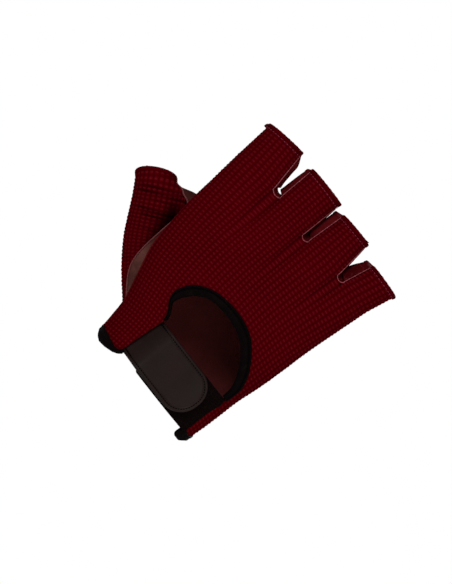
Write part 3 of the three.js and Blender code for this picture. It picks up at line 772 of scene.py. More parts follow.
def knit_material(name="knit", creases=(), shade=None):
    knit = Finish(name)
    u, v = knit.pattern()
    rib = (u + 0.5).wave()
    stitch = (v + 0.5).wave()
    raised = rib.ramp(0.0, 0.6, 0.5, 1.0) * stitch.ramp(-0.1, 0.6, 0.6, 1.0)
    place = knit.place()
    fluff = knit.noise(place, 1900.0, 3.0, 0.65)
    patches = knit.noise(place, 32.0, 3.0)
    # Painted shade: the tone falls to the furrow colour in the furrows and between the stitches. Fluff and
    # patches are the yarn's own unevenness.
    tone = (raised + (fluff - 0.5) * 0.5 + (patches - 0.5) * 0.6).share()
    base = knit.colour(tone, KNIT["furrow"], KNIT["face"])
    # Painted highlight: the crown of each stitch is lit towards the light colour.
    crown_highlight = (rib ** 0.6 * stitch ** 1.4).ramp(0.25, 0.9) * fluff.ramp(0.35, 0.65, 0.3, 0.8)
    colour = knit.colour(crown_highlight, base, KNIT["light"])
    # Painted shade in the creases: each crease darkens the knit towards the shade colour.
    for crease in creases:
        line = v - u * crease["slope"] - crease["row"]
        deep = line.bell(crease["width"]) * u.ramp(crease["from"], crease["to"]) * crease["dark"]
        colour = knit.colour(deep * (1.0 - stitch * 0.5), colour, KNIT["shade"])
    # Painted shadow: the knit is darkened towards the shade colour near a line, where the back's edge shades
    # the thumb.
    if shade:
        x, _, z = knit.parts(place)
        away = x * (shade["across"] / MM) + z * (shade["along"] / MM) - shade["start"]
        within = (z / MM).ramp(*shade["low"]) * (z / MM).ramp(*shade["high"])
        colour = knit.colour(away.ramp(shade["reach"], 0.0) * within * shade["dark"], colour, KNIT["shade"])
    plies = ((v * 3.0 + u * 1.5).fraction() * 2 - 1).size()
    yarn = knit.bump(plies, 0.2, 0.0002)
    surface = knit.bump(fluff, 0.5, 0.0004, yarn)
    return knit.done(Base_Color=colour, Roughness=1.0, Specular_IOR_Level=0.0, Normal=surface)


KNIT_FINISH = knit_material()


KNIT_HEIGHT = {"rib": 0.14, "stitch": 0.26, "uneven": 0.045, "sunk": 0.22}
STITCH_BEND = {"arch": 0.1, "lean": 0.06}


def knit_relief(u, v, s, t, i, j, base):
    """Height of the knit's stitches over the form, in millimetres."""
    rng = np.random.default_rng(5)
    uneven = rng.normal(0, KNIT_HEIGHT["uneven"], (i.max() + 2, j.max() + 2))
    rib = 0.5 + 0.5 * np.cos(np.pi * (2 * s - 1))
    stitch = 0.5 + 0.5 * np.cos(np.pi * (2 * t - 1))
    stands = (KNIT_HEIGHT["stitch"] + uneven[i, j]) * rib**0.5 * stitch**1.2
    return KNIT_HEIGHT["rib"] * rib**0.6 + stands - KNIT_HEIGHT["sunk"]


def stitch_bend(s, t):
    """Each stitch arches towards the finger ends and leans a little."""
    return STITCH_BEND["arch"] * (1 - (2 * s - 1) ** 2) + STITCH_BEND["lean"] * np.sin(2 * np.pi * s)


print("knit ready")

# %% [markdown]
# ## The opening on the back
# The knit is cut open over the wrist, and the strap closes that opening. Its rim is a smooth
# curve through a few points read off the photograph, and the knit, the tape and the velour all
# take their edges from it.

# %% Outline of the opening
RADIAL_FLAP = [(-21.4, -20), (-21.4, 4), (-20.6, 17), (-19.9, 31.8)]
OPENING_RIM = [
    (-20.8, 34.3), (-22.6, 36.9), (-24.9, 39.1), (-27.2, 42.4), (-27.9, 46.5), (-24.6, 54.8), (-16.2, 61.3),
    (-5.3, 64.1), (5.9, 64.1), (16.5, 60.9), (28.2, 50.9), (33.2, 41.9), (33.7, 35.9), (33.5, 31.5),
]
ULNAR_FLAP = [(33.7, 28), (33.3, 24), (32.7, 20), (32.6, 13.5), (32.6, -20)]
TAPE_FREE_EDGE = [
    (-18.4, 32.7), (-19.4, 35.6), (-21.4, 38.4), (-23.7, 40.9), (-23.7, 43.8), (-22.4, 47.5), (-18.2, 53.6),
    (-11.4, 57.6), (1.6, 58.6), (11.2, 56.8), (18.8, 52.3), (25.6, 45.3), (30.0, 37.8), (31.1, 31.5),
]
WRIST_TAPE = table(
    "x low high",
    (-36.9, 1.6, 5.2), (-35.6, 0.0, 4.8), (-34.4, -1.2, 4.5), (-32.8, -1.8, 4.6), (-28.7, -1.1, 3.9),
    (-24.0, 0.5, 3.3), (-21.4, 2.1, 4.2), (-19.8, 4.0, 6.2), (30.0, 1.0, 5.4), (31.8, -1.0, 5.8),
    (34.6, -1.2, 4.6), (37.3, 1.6, 5.2),
)
RIM_COUNT = 180
rim = smooth_curve([RADIAL_FLAP[-1]] + OPENING_RIM, RIM_COUNT)
free_edge = smooth_curve(TAPE_FREE_EDGE, RIM_COUNT)


def opening_outline(share):
    """The opening's edge, part of the way from the tape's outer edge to its free edge."""
    return np.concatenate([RADIAL_FLAP[:-1], mix(rim, free_edge, share)[::3], ULNAR_FLAP])


opening_edge = opening_outline(0.4)
print("the opening is", round(np.ptp(rim[:, 0]), 1), "mm wide")

# %% [markdown]
# ## The back in knit
# One knitted panel covers the back and the backs of the four stalls, and wraps a little way
# round the little finger's side. It is one sheet of ribs and rows, cut at the wrist, at the ends
# of the stalls, at the slits and at the opening. Panels for each stall would be simpler, but the
# ribs have to run on without a break from the wrist into the stalls.

# %% Back in knit
KNIT_RUNS = [
    {"finger": 0, "side": -1, "turns": (-1, 1), "ribs": 10},
    {"finger": 1, "side": -1, "turns": (-1, 1), "ribs": 9},
    {"finger": 2, "side": -1, "turns": (-1, 1), "ribs": 8},
    {"finger": 3, "side": -1, "turns": (-1, 1), "ribs": 8},
    {"finger": 3, "side": 1, "turns": (1, 0.74), "ribs": 1},
]
STALL_ARCH = [(0.0072, -0.12), (0.0072, 0.0), (0.0072, -0.04), (0.0072, 0.03), (0.0072, 0.03)]
KNIT_ROW = 2.03
STALL_LENGTH = 24
FAR = 50.0
UNDER_TAPE = {"back": 0.5, "palm": 0.7}
back_sheet = BodySheet(KNIT_RUNS, 1, KNIT_ROW, 0.0020, -14.0, STALL_ARCH)
print("back:", back_sheet.ribs, "ribs over", round(back_sheet.length, 1), "mm")


def near_slit(sheet, u):
    return np.any([(u >= start) & (u <= end) for start, end in sheet.slits], axis=0)


def tape_edge(edge, x):
    """Height of the wrist tape's low or high edge on the back."""
    rows = np.array([(row["x"], row[edge]) for row in WRIST_TAPE])
    return np.interp(x, rows[:, 0], rows[:, 1])


def outside_opening(u, v):
    place = back_sheet.surface(u, v)
    gap = distance_to_outline(place[..., 0], place[..., 2], opening_edge)
    return np.where(place[..., 1] < 0, gap, FAR)


def wrist_line(place):
    """Height of a panel's wrist edge, under the tape."""
    back = tape_edge("high", place[..., 0]) - UNDER_TAPE["back"]
    palm = WRIST_EDGE["side"] + WRIST_EDGE["tilt"] * place[..., 1] / WRIST_EDGE["depth"] + UNDER_TAPE["palm"]
    return np.where(place[..., 1] < 0, back, palm)


def above_wrist(sheet, u, v):
    place = sheet.surface(u, v)
    return place[..., 2] - wrist_line(place)


def sheet_limits(sheet):
    """The wrist edge, the finger openings and the slits, in millimetres inside."""
    return [
        ("rows", lambda u, v: above_wrist(sheet, u, v)),
        ("rows", lambda u, v: (2 - sheet.row_at(u, v)) * STALL_LENGTH),
        ("rows", lambda u, v: np.where(near_slit(sheet, u), (1 - sheet.row_at(u, v)) * STALL_LENGTH, FAR)),
    ]


def sheet_cells(sheet):
    return (0, int(sheet.ribs)), (sheet.first, sheet.last - sheet.first)


knit_back = build_sheet(
    "knit_back", back_sheet.surface, sheet_cells(back_sheet), (6, 5),
    sheet_limits(back_sheet) + [("edge", outside_opening)],
    KNIT_WALL, knit_relief, bend=stitch_bend, jitter=0.05,
)
hand_over(knit_back, "knit", ["back_panel"], KNIT_FINISH)

# %% [markdown]
# ## The thumb in knit
# The thumb's ribs start square to its hem and run down along its outer edge. Towards the palm
# the stall grows wider than the knit, and a curved seam cuts the ribs off one by one. Ribs that
# follow the stall's own sections would fan out instead. So the ribs are counted from the outer
# edge, the rows from the hem, and a table turns both numbers into a place on the thumb stall.

# %% Thumb sheet
THUMB_RIB = 3.05
THUMB_RADIUS = 14.6
THUMB_END = 7.0
THUMB_SECTION = 5.6
BODY_RADIUS = 20


class ThumbSheet:
    """Ribs counted round from the outer edge and rows counted down from the hem."""

    def __init__(self, ribs, rows):
        i = np.linspace(-0.4, 7.6, 161)
        turn = np.linspace(0, 176, 89)
        edge = thumb_point(np.zeros_like(i), i, lip=0)[:, [0, 2]]
        along = lengths_along(edge)
        along -= np.interp(THUMB_END, i, along)
        plan = thumb_point(turn[:, None], i[None, :], lip=0)[..., [0, 2]]
        gap = np.linalg.norm(plan[:, :, None] - edge[None, None], axis=-1)
        nearest = gap.argmin(-1)
        away, down = gap.min(-1), along[nearest]
        self.first = -rows
        u = np.linspace(0, ribs, ribs * 6 + 1)
        v = np.linspace(-rows, 3, (rows + 3) * 5 + 1)
        wanted = THUMB_RADIUS * (1 - np.cos(np.minimum(u * THUMB_RIB / THUMB_RADIUS, np.pi * 0.97)))
        self.turn = np.zeros((len(u), len(v)))
        self.i = np.zeros_like(self.turn)
        for k, distance in enumerate(wanted):
            turns = np.array([np.interp(distance, away[:, m], turn) for m in range(len(i))])
            downs = np.array([np.interp(turns[m], turn, down[:, m]) for m in range(len(i))])
            order = np.maximum.accumulate(downs + np.arange(len(i)) * 1e-6)
            here = np.interp(v * KNIT_ROW, order, i)
            self.i[k] = here
            self.turn[k] = np.interp(here, i, turns)

    def look(self, values, u, v):
        a = np.clip(np.abs(u) * 6, 0, values.shape[0] - 1.001)
        b = np.clip((v - self.first) * 5, 0, values.shape[1] - 1.001)
        return look_up(values, a, b)

    def at(self, u, v):
        return np.sign(u) * self.look(self.turn, u, v), self.look(self.i, u, v)

    def surface(self, u, v):
        turn, i = self.at(u, v)
        return thumb_point(turn, i)


def outside_body(place):
    """Rough distance in millimetres of a place outside the body's form."""
    middle, half = body_section(place[..., 2])
    across = (place[..., 0] - middle) / half
    depth = body_depth(np.where(place[..., 1] < 0, -1, 1), 0.0, place[..., 2])
    out = (np.abs(across) ** ROUNDNESS + np.abs(place[..., 1] / depth) ** ROUNDNESS) ** (1 / ROUNDNESS)
    return (out - 1) * BODY_RADIUS


thumb_sheet = ThumbSheet(14, 40)


def thumb_seam_at(i):
    return column_at(THUMB, "i", "seam", i)


THUMB_DEGREE = 0.2
SEAM_COVER = 1.5
THUMB_LIMITS = [
    ("edge", lambda turn, i: (thumb_seam_at(i) + SEAM_COVER - turn) * THUMB_DEGREE),
    ("edge", lambda turn, i: (turn - THUMB_PALM_SEAM) * THUMB_DEGREE),
    ("rows", lambda turn, i: (THUMB_END - i) * THUMB_SECTION),
    ("edge", lambda turn, i: outside_body(thumb_point(turn, i))),
]


def on_thumb(limit):
    """A limit of the thumb's knit, from ribs and rows to the stall's turn and section."""
    return lambda u, v: limit(*thumb_sheet.at(u, v))


# dark is the strength of the painted shade along each crease, and depth is its real sunk relief.
THUMB_CREASES = table(
    "row slope from to width dark depth",
    (-3.4, -0.10, 1.5, 6.0, 0.35, 0.6, 0.5),
    (-4.5, -0.12, 1.0, 5.0, 0.4, 0.7, 0.6),
    (-5.6, -0.16, 3.0, 8.0, 0.3, 0.4, 0.3),
    (-8.6, -0.14, 2.0, 5.5, 0.45, 0.75, 0.8),
    (-9.8, -0.18, 3.0, 6.5, 0.45, 0.75, 0.8),
    (-11.0, -0.20, 4.0, 8.0, 0.35, 0.5, 0.4),
    (-13.6, -0.14, 3.5, 7.5, 0.4, 0.5, 0.4),
)


def thumb_relief(u, v, s, t, i, j, base):
    height = knit_relief(u, v, s, t, i, j, base)
    for crease in THUMB_CREASES:
        line = v - u * crease["slope"] - crease["row"]
        reach = ease((u - crease["from"]) / (crease["to"] - crease["from"]))
        height = height - crease["depth"] * reach * np.exp(-((line / crease["width"]) ** 2))
    return height


knit_thumb = build_sheet(
    "knit_thumb", thumb_sheet.surface, ((-4, 18), (-40, 42)), (6, 5),
    [(kind, on_thumb(limit)) for kind, limit in THUMB_LIMITS],
    KNIT_WALL, thumb_relief, bend=stitch_bend, jitter=0.05, seed=2, pitch=(3.0, 2.0),
)
# A painted shadow on the thumb's knit along the back's radial edge, fading away from it.
THUMB_SHADE = {
    "across": -0.940, "along": -0.341, "start": 33.5, "reach": 8.5, "low": (38.0, 50.0), "high": (79.0, 69.0),
    "dark": 0.95,
}
hand_over(knit_thumb, "knit", ["thumb_back"], knit_material("knit with creases", THUMB_CREASES, THUMB_SHADE))

# %% [markdown]
# ## Leather
# The palm, the front of the thumb and the walls between the fingers are thin burgundy leather.
# It is smooth, with a soft shine and a fine grain of small plates, and its inside is suede. The
# grain is finer than any face could be, so all of it is in the material, where it keeps its
# size on every piece. Its lighter flecks are partly wear and partly painted sheen, and the walls
# and the thumb, whose leather has no shine of its own, rely on that painted sheen.

# %% Leather material
LEATHER = {"deep": (58, 2, 6), "face": (76, 6, 11), "worn": (94, 24, 28)}
SUEDE = {"deep": (44, 12, 12), "face": (74, 28, 26)}


def leather_material(name="leather", tones=LEATHER, shine=0.12, sheen_below=None):
    leather = Finish(name)
    place = leather.place()
    plates = leather.cells(place, 900.0, "DISTANCE_TO_EDGE")
    pores = leather.noise(place, 700.0, 4.0, 0.6)
    clouds = leather.noise(place, 60.0, 3.0)
    creases = leather.noise(place, 150.0, 2.0)
    base = leather.colour(clouds.ramp(0.3, 0.7), tones["deep"], tones["face"])
    # Lighter flecks: partly wear and partly painted sheen, which stands in for shine where the leather has
    # none.
    colour = leather.colour(pores.ramp(0.5, 0.8) * 0.4, base, tones["worn"])
    # Painted sheen: the leather pales in cloudy patches below a height, as where light catches it.
    if sheen_below:
        height = leather.parts(place)[2] / MM
        pale = height.ramp(sheen_below["from"], sheen_below["to"]) * clouds.ramp(0.35, 0.65, 0.25, 0.8)
        colour = leather.colour(pale, colour, sheen_below["tone"])
    grain = leather.bump(plates.upto(0.35), 0.35, 0.0002)
    folds = leather.bump(creases, 0.4, 0.0016, grain)
    roughness = clouds.ramp(0.25, 0.75, 0.28, 0.40)
    return leather.done(Base_Color=colour, Roughness=roughness, Specular_IOR_Level=shine, Normal=folds)


def suede_material():
    suede = Finish("suede")
    place = suede.place()
    nap = suede.noise(place, 1300.0, 4.0, 0.7)
    clouds = suede.noise(place, 90.0, 3.0, 0.6)
    tone = (nap * 0.6 + clouds * 0.8 - 0.2).share()
    surface = suede.bump(nap, 0.5, 0.0003)
    colour = suede.colour(tone, SUEDE["deep"], SUEDE["face"])
    return suede.done(Base_Color=colour, Roughness=1.0, Specular_IOR_Level=0.05, Normal=surface)


LEATHER_FINISH = leather_material()
# The walls' and the thumb's leather have no shine, so their lightest tone is painted sheen.
WALL_TONES = {"deep": (48, 2, 4), "face": (76, 12, 15), "worn": (104, 40, 42)}
THUMB_TONES = {"deep": (30, 9, 9), "face": (58, 27, 25), "worn": (74, 40, 36)}
# A painted sheen on the thumb's leather, growing from 56 mm down to 36 mm.
THUMB_PAINTED_SHEEN = {"from": 56.0, "to": 36.0, "tone": (112, 70, 62)}
WALL_LEATHER_FINISH = leather_material("wall leather", WALL_TONES, 0.0)
THUMB_LEATHER_FINISH = leather_material("thumb leather", THUMB_TONES, 0.0, THUMB_PAINTED_SHEEN)
SUEDE_FINISH = suede_material()
print("leather ready")

# %% [markdown]
# ## The palm
# The palm is one leather panel with the fronts of the stalls, cut away where the thumb is set
# in. It is laid on the form in the same way as the knit, with coarser cells, and a few soft
# wrinkles cross it where it bends.

# %% Palm in leather
PALM_RUNS = [
    {"finger": 3, "side": 1, "turns": (0.7, -1), "ribs": 9},
    {"finger": 2, "side": 1, "turns": (1, -1), "ribs": 9},
    {"finger": 1, "side": 1, "turns": (1, -1), "ribs": 9},
    {"finger": 0, "side": 1, "turns": (1, -0.98), "ribs": 12},
]
BELOW_THUMB = 20.0
PALM_MIDDLE = 10
PALM_CREASES = table(
    "middle slope bend depth width",
    (96, 0.10, -0.003, 0.45, 1.2),
    (84, -0.16, 0.002, 0.5, 1.3),
    (108, 0.02, -0.002, 0.3, 1.0),
    (20, 0.05, 0.004, 0.3, 1.1),
)
palm_sheet = BodySheet(PALM_RUNS, 1, 3.0, 0.0, 0.0, [(0, 0)] * 4)


def thumb_sections(place):
    """The thumb section through each place, seen square to the back."""
    i = np.linspace(-0.6, 7.4, 161)
    outer = thumb_point(np.zeros_like(i), i)[:, [0, 2]]
    inner = thumb_point(np.full_like(i, 180.0), i)[:, [0, 2]]
    flat = place.reshape(-1, 3)[:, [0, 2]]
    width = inner - outer
    offset = flat[:, None] - outer[None]
    turned = offset[..., 0] * width[None, :, 1] - offset[..., 1] * width[None, :, 0]
    change = np.sign(turned[:, 1:]) != np.sign(turned[:, :-1])
    k = np.where(change.any(1), change.argmax(1), 0)
    rows = np.arange(len(flat))
    share = turned[rows, k] / (turned[rows, k] - turned[rows, k + 1] + 1e-12)
    section = np.where(change.any(1), i[k] + share * (i[1] - i[0]), -5.0)
    at = outer[k] + (outer[k + 1] - outer[k]) * share[:, None]
    span = width[k]
    across = ((flat - at) * span).sum(1) / (span**2).sum(1)
    return section.reshape(place.shape[:-1]), across.reshape(place.shape[:-1])


def palm_outside_thumb(u, v):
    place = palm_sheet.surface(u, v)
    section, across = thumb_sections(place)
    inside = np.clip(section, 0, THUMB_END)
    middle = column_at(THUMB, "i", "y", inside)
    half = column_at(THUMB, "i", "half", inside)
    out = np.sqrt((2 * across - 1) ** 2 + ((place[..., 1] - middle) / half) ** 2)
    return np.where(section < -0.5, BELOW_THUMB, (out - 1) * half + LEATHER_WALL)


def palm_relief(u, v, s, t, i, j, base):
    """Soft wrinkles across the palm."""
    x, z = base[..., 0] + PALM_MIDDLE, base[..., 2]
    lines = np.zeros_like(x)
    for crease in PALM_CREASES:
        line = crease["middle"] + crease["slope"] * x + crease["bend"] * x**2
        lines -= crease["depth"] * np.exp(-(((z - line) / crease["width"]) ** 2))
    return lines


leather_palm = build_sheet(
    "leather_palm", palm_sheet.surface, sheet_cells(palm_sheet), (3, 3),
    sheet_limits(palm_sheet) + [("edge", palm_outside_thumb)],
    LEATHER_WALL, palm_relief, pitch=(3.0, 3.0),
)
hand_over(leather_palm, "leather", ["palm_panel"], LEATHER_FINISH, SUEDE_FINISH)

# %% [markdown]
# ## The thumb's front
# Leather covers the front of the thumb stall, from the curved seam on its back round to the
# seam at its outer edge. The ribs of the knit don't go on in it, so it has cells of its own that
# run from seam to seam. They end within a degree of the knit, and cords cover both joins.

# %% Thumb front in leather
FRONT_GAP = 1.0
FRONT_CELLS = {"round": 24, "along": 42}


def front_surface(u, v):
    i = v / FRONT_CELLS["along"] * THUMB_END
    first, last = thumb_seam_at(i) + FRONT_GAP, 360 + THUMB_PALM_SEAM - FRONT_GAP
    return thumb_point(mix(first, last, u / FRONT_CELLS["round"]), i)


def no_relief(u, v, s, t, i, j, base):
    return np.zeros_like(u)


leather_thumb = build_sheet(
    "leather_thumb", front_surface, ((0, FRONT_CELLS["round"]), (0, FRONT_CELLS["along"])), (3, 3),
    [("edge", lambda u, v: outside_body(front_surface(u, v)))],
    LEATHER_WALL, no_relief, pitch=(3.0, 3.0),
)
hand_over(leather_thumb, "leather", ["thumb_front"], THUMB_LEATHER_FINISH, SUEDE_FINISH)

# %% [markdown]
# ## Walls between the fingers
# A leather strip lines each slit, down one stall, round the crotch and up the next, from the
# knit's edge to the palm's. It swells into the slit by different amounts. A table gives the
# swell at four heights on both sides, and the strip is laid between the two edges.

# %% Walls between the fingers
WALLS = table(
    "between left right rise l_low l_mid l_high l_top l_drop r_low r_mid r_high r_top r_drop",
    ("index_middle", 0, 1, 3.4, 2.2, 2.6, 3.0, 0.8, 1.5, 3.5, 3.2, 2.7, 2.2, 1.8),
    ("middle_ring", 1, 2, 3.2, 1.2, 1.2, 0.8, 0.2, 2.0, 4.2, 4.5, 4.7, 4.6, 1.8),
    ("ring_little", 2, 3, 3.2, 0.4, 0.3, 0.3, 0.1, 1.5, 6.4, 6.0, 4.8, 4.4, 0.6),
)
SLIT_ROWS = np.array([2, 1.9, 1.75, 1.6, 1.4, 1.25, 1.12, 1.03])
SWELL_ROWS = {"low": 1.1, "mid": 1.5, "high": 1.8, "top": 2.0}
SLIT = {"deeper": 1.1, "below": 0.5, "tuck": 1.3, "tuck_below": 1.1, "drop_length": 9, "rise_length": 7}
WALL_SIZE = {"around": 10, "along": 60, "tuck": 0.08}
WALL_LEATHER = 1.0


def slit_edge(side, wall, deeper=0.0):
    """The slit's edge down one finger, round the crotch and up the next, in even steps."""
    left_finger, right_finger = FINGERS[wall["left"]], FINGERS[wall["right"]]
    left = stall_point(side, left_finger, 1.0, SLIT_ROWS - 1)
    right = stall_point(side, right_finger, -1.0, SLIT_ROWS[::-1] - 1)
    crotch = (stall_point(side, left_finger, 1.0, 0.0) + stall_point(side, right_finger, -1.0, 0.0)) / 2
    crotch[2] -= deeper
    left_swell, right_swell = [
        np.interp(SLIT_ROWS, [1.0, *SWELL_ROWS.values()], [0, *(wall[side_of + name] for name in SWELL_ROWS)])
        for side_of in ("l_", "r_")
    ]
    swell = np.r_[left_swell, 0, -right_swell[::-1]]
    line = np.concatenate([left, crotch[None], right])
    curve = smooth_curve(np.column_stack([line, swell]), WALL_SIZE["along"] + 1)
    return curve[:, :3], curve[:, 3]


def away_from_slit(curve):
    """Directions in the plane of the back that point out of the slit, into the cloth."""
    run = np.gradient(curve, axis=0)
    return unit(np.stack([run[:, 2], np.zeros(len(run)), -run[:, 0]], -1))


def wall_lines(wall):
    """Four lines along the wall: under the knit, at its edge, at the palm's edge and under it."""
    back, swell = slit_edge(-1, wall, SLIT["deeper"])
    palm, _ = slit_edge(1, wall, SLIT["deeper"])
    below, tuck_below = [np.array([0, SLIT[name], 0]) for name in ("below", "tuck_below")]
    back_tuck = back + away_from_slit(back) * SLIT["tuck"] + tuck_below
    palm_tuck = palm + away_from_slit(palm) * SLIT["tuck"] - tuck_below
    return np.stack([back_tuck, back + below, palm - below, palm_tuck]), swell


def wall_surface_of(wall):
    lines, swell = wall_lines(wall)
    keys = np.array([0, WALL_SIZE["tuck"], 1 - WALL_SIZE["tuck"], 1])
    number = np.arange(lines.shape[1])

    def surface(u, v):
        share = 1 - np.clip(u, 0, WALL_SIZE["around"]) / WALL_SIZE["around"]
        at = np.clip(v, 0, WALL_SIZE["along"])
        band = np.clip(np.searchsorted(keys, share, side="right") - 1, 0, 2)
        within = (share - keys[band]) / (keys[band + 1] - keys[band])
        step = np.clip(np.asarray(at).astype(int), 0, len(number) - 2)
        part = (at - step)[..., None]
        low = mix(lines[band, step], lines[band, step + 1], part)
        high = mix(lines[band + 1, step], lines[band + 1, step + 1], part)
        place = mix(low, high, within[..., None])
        between = np.clip((share - keys[1]) / (keys[2] - keys[1]), 0, 1)
        bulge = np.sin(between * np.pi)
        first, last = [
            np.clip(1 - reach / SLIT["drop_length"], 0, 1) ** 1.5 for reach in (at, WALL_SIZE["along"] - at)
        ]
        place[..., 0] += np.interp(at, number, swell) * bulge
        place[..., 2] -= (wall["l_drop"] * first + wall["r_drop"] * last) * bulge**0.7
        from_crotch = (at - WALL_SIZE["along"] / 2) / SLIT["rise_length"]
        place[..., 2] += wall["rise"] * np.exp(-(from_crotch**2)) * bulge
        return place

    return surface


for wall in WALLS:
    item = build_sheet(
        "side_wall_" + wall["between"], wall_surface_of(wall),
        ((0, WALL_SIZE["around"]), (0, WALL_SIZE["along"])), (3, 2), [], WALL_LEATHER, no_relief,
    )
    hand_over(item, "leather", ["fourchette_" + wall["between"]], WALL_LEATHER_FINISH, SUEDE_FINISH)

# %% [markdown]
# ## Bands along an edge
# Hems, tapes and seams are bands with one cross-section, carried along a path. A curve with a
# bevel would do it too, but it turns the section as it likes. So at each place of the path the
# section gets two directions: one along the cloth, away from the edge, and one out of the cloth.

# %% Band builder
def ring_object(name, ring):
    """A band through rings of points, closed at both ends, with its faces turned outwards."""
    count, around = ring.shape[:2]
    index = np.arange(count * around).reshape(count, around)
    beside = np.roll(index, -1, axis=1)
    quads = np.stack([index[:-1], index[1:], beside[1:], beside[:-1]], -1).reshape(-1, 4)
    faces = [tuple(quad) for quad in quads] + [tuple(index[0]), tuple(index[-1][::-1])]
    along = lengths_along(ring.mean(1))
    turns = np.arange(around) / around
    uv = np.stack(np.broadcast_arrays(along[:, None], turns[None, :]), -1).reshape(-1, 2)
    item = sheet_object(name, ring.reshape(-1, 3), faces, uv)
    work = bmesh.new()
    work.from_mesh(item.data)
    bmesh.ops.recalc_face_normals(work, faces=work.faces)
    work.to_mesh(item.data)
    work.free()
    return item


def band_ring(path, along, out, section):
    """Rings of a band: section has pairs of distances, along the cloth and out of it."""
    section = np.asarray(section, float)
    return path[:, None] + along[:, None] * section[None, :, :1] + out[:, None] * section[None, :, 1:]


def build_cord(name, path, radius, wobble, seed, sides=8):
    """A round cord along a path, with a slightly uneven thickness."""
    run = unit(np.gradient(path, axis=0))
    first = unit(np.cross(run, np.array([0.0, 1.0, 0.0])))
    second = np.cross(run, first)
    angle = np.arange(sides) / sides * 2 * np.pi
    rng = np.random.default_rng(seed)
    size = radius * (1 + wobble * rng.normal(0, 1, len(path)))
    size[[0, -1]] *= 0.5
    cosine, sine = np.cos(angle)[None, :, None], np.sin(angle)[None, :, None]
    circle = first[:, None] * cosine + second[:, None] * sine
    return ring_object(name, path[:, None] + circle * size[:, None, None])


def rounded(points, times):
    """A section's corners cut off a number of times, so that it looks soft."""
    points = np.asarray(points, float)
    for _ in range(times):
        after = np.roll(points, -1, axis=0)
        points = np.stack([points * 0.75 + after * 0.25, points * 0.25 + after * 0.75], 1).reshape(-1, 2)
    return points


def on_back(x, z, level=0.0):
    """A place on the back's form, raised by a level."""
    middle, half = body_section(z)
    y = -body_depth(-1, (x - middle) / half, z)
    return np.stack([x, y - level, z], -1)


def back_normal(x, z):
    dx = on_back(x + 0.5, z) - on_back(x - 0.5, z)
    dz = on_back(x, z + 0.5) - on_back(x, z - 0.5)
    return unit(np.cross(dx, dz))


def above_back(plan, level):
    """Places over the back, a level away from it along its own normal."""
    return on_back(plan[:, 0], plan[:, 1]) + back_normal(plan[:, 0], plan[:, 1]) * level


# %% [markdown]
# ## Stitches
# One stitch is a small bead, longer than it is thick. Hundreds of them are sewn along the hems,
# the tape and the strap, too many to place by hand. A node group spaces beads along a line,
# turns each along it, and makes some a little shorter than others.

# %% Stitches along a line
def stitch_nodes():
    group = bpy.data.node_groups.new("stitches along a line", "GeometryNodeTree")
    face = group.interface
    face.new_socket("Line", in_out="INPUT", socket_type="NodeSocketGeometry")
    for label in ("Spacing", "Length", "Thickness", "Unevenness"):
        face.new_socket(label, in_out="INPUT", socket_type="NodeSocketFloat")
    face.new_socket("Thread", in_out="INPUT", socket_type="NodeSocketMaterial")
    face.new_socket("Stitches", in_out="OUTPUT", socket_type="NodeSocketGeometry")
    given = group.nodes.new("NodeGroupInput").outputs
    result = group.nodes.new("NodeGroupOutput").inputs

    def node(kind, settings=None, **sockets):
        item = group.nodes.new(kind)
        for key, value in (settings or {}).items():
            setattr(item, key, value)
        for key, value in sockets.items():
            socket = item.inputs[int(key[1:])] if key.startswith("_") else item.inputs[key]
            if isinstance(value, bpy.types.NodeSocket):
                group.links.new(value, socket)
            else:
                socket.default_value = value
        return item

    curve = node("GeometryNodeMeshToCurve", Mesh=given["Line"])
    by_length = {"mode": "LENGTH"}
    spaced = node("GeometryNodeResampleCurve", by_length, Curve=curve.outputs[0], Length=given["Spacing"])
    tangent = node("GeometryNodeInputTangent")
    turned = node("FunctionNodeAlignRotationToVector", {"axis": "X"}, Vector=tangent.outputs[0])
    least = node("ShaderNodeMath", {"operation": "SUBTRACT"}, _0=1.0, _1=given["Unevenness"])
    some = node("FunctionNodeRandomValue", {"data_type": "FLOAT"}, _2=least.outputs[0], _3=1.0, Seed=3)
    longer = node("ShaderNodeMath", {"operation": "MULTIPLY"}, _0=given["Length"], _1=some.outputs[1])
    size = node("ShaderNodeCombineXYZ", X=longer.outputs[0], Y=given["Thickness"], Z=given["Thickness"])
    bead = node("GeometryNodeMeshUVSphere", Segments=8, Rings=6, Radius=0.5)
    beads = node(
        "GeometryNodeInstanceOnPoints", Points=spaced.outputs[0], Instance=bead.outputs[0],
        Rotation=turned.outputs[0], Scale=size.outputs[0],
    )
    real = node("GeometryNodeRealizeInstances", Geometry=beads.outputs[0])
    painted = node("GeometryNodeSetMaterial", Geometry=real.outputs[0], Material=given["Thread"])
    group.links.new(painted.outputs[0], result["Stitches"])
    return group


STITCHES = stitch_nodes()
UNEVENNESS = 0.15
STITCH_SIZES = {
    "knit": {"Spacing": 2.0, "Length": 1.4, "Thickness": 0.45},
    "strap": {"Spacing": 1.4, "Length": 1.1, "Thickness": 0.8},
    "tape": {"Spacing": 1.6, "Length": 1.2, "Thickness": 0.3},
}


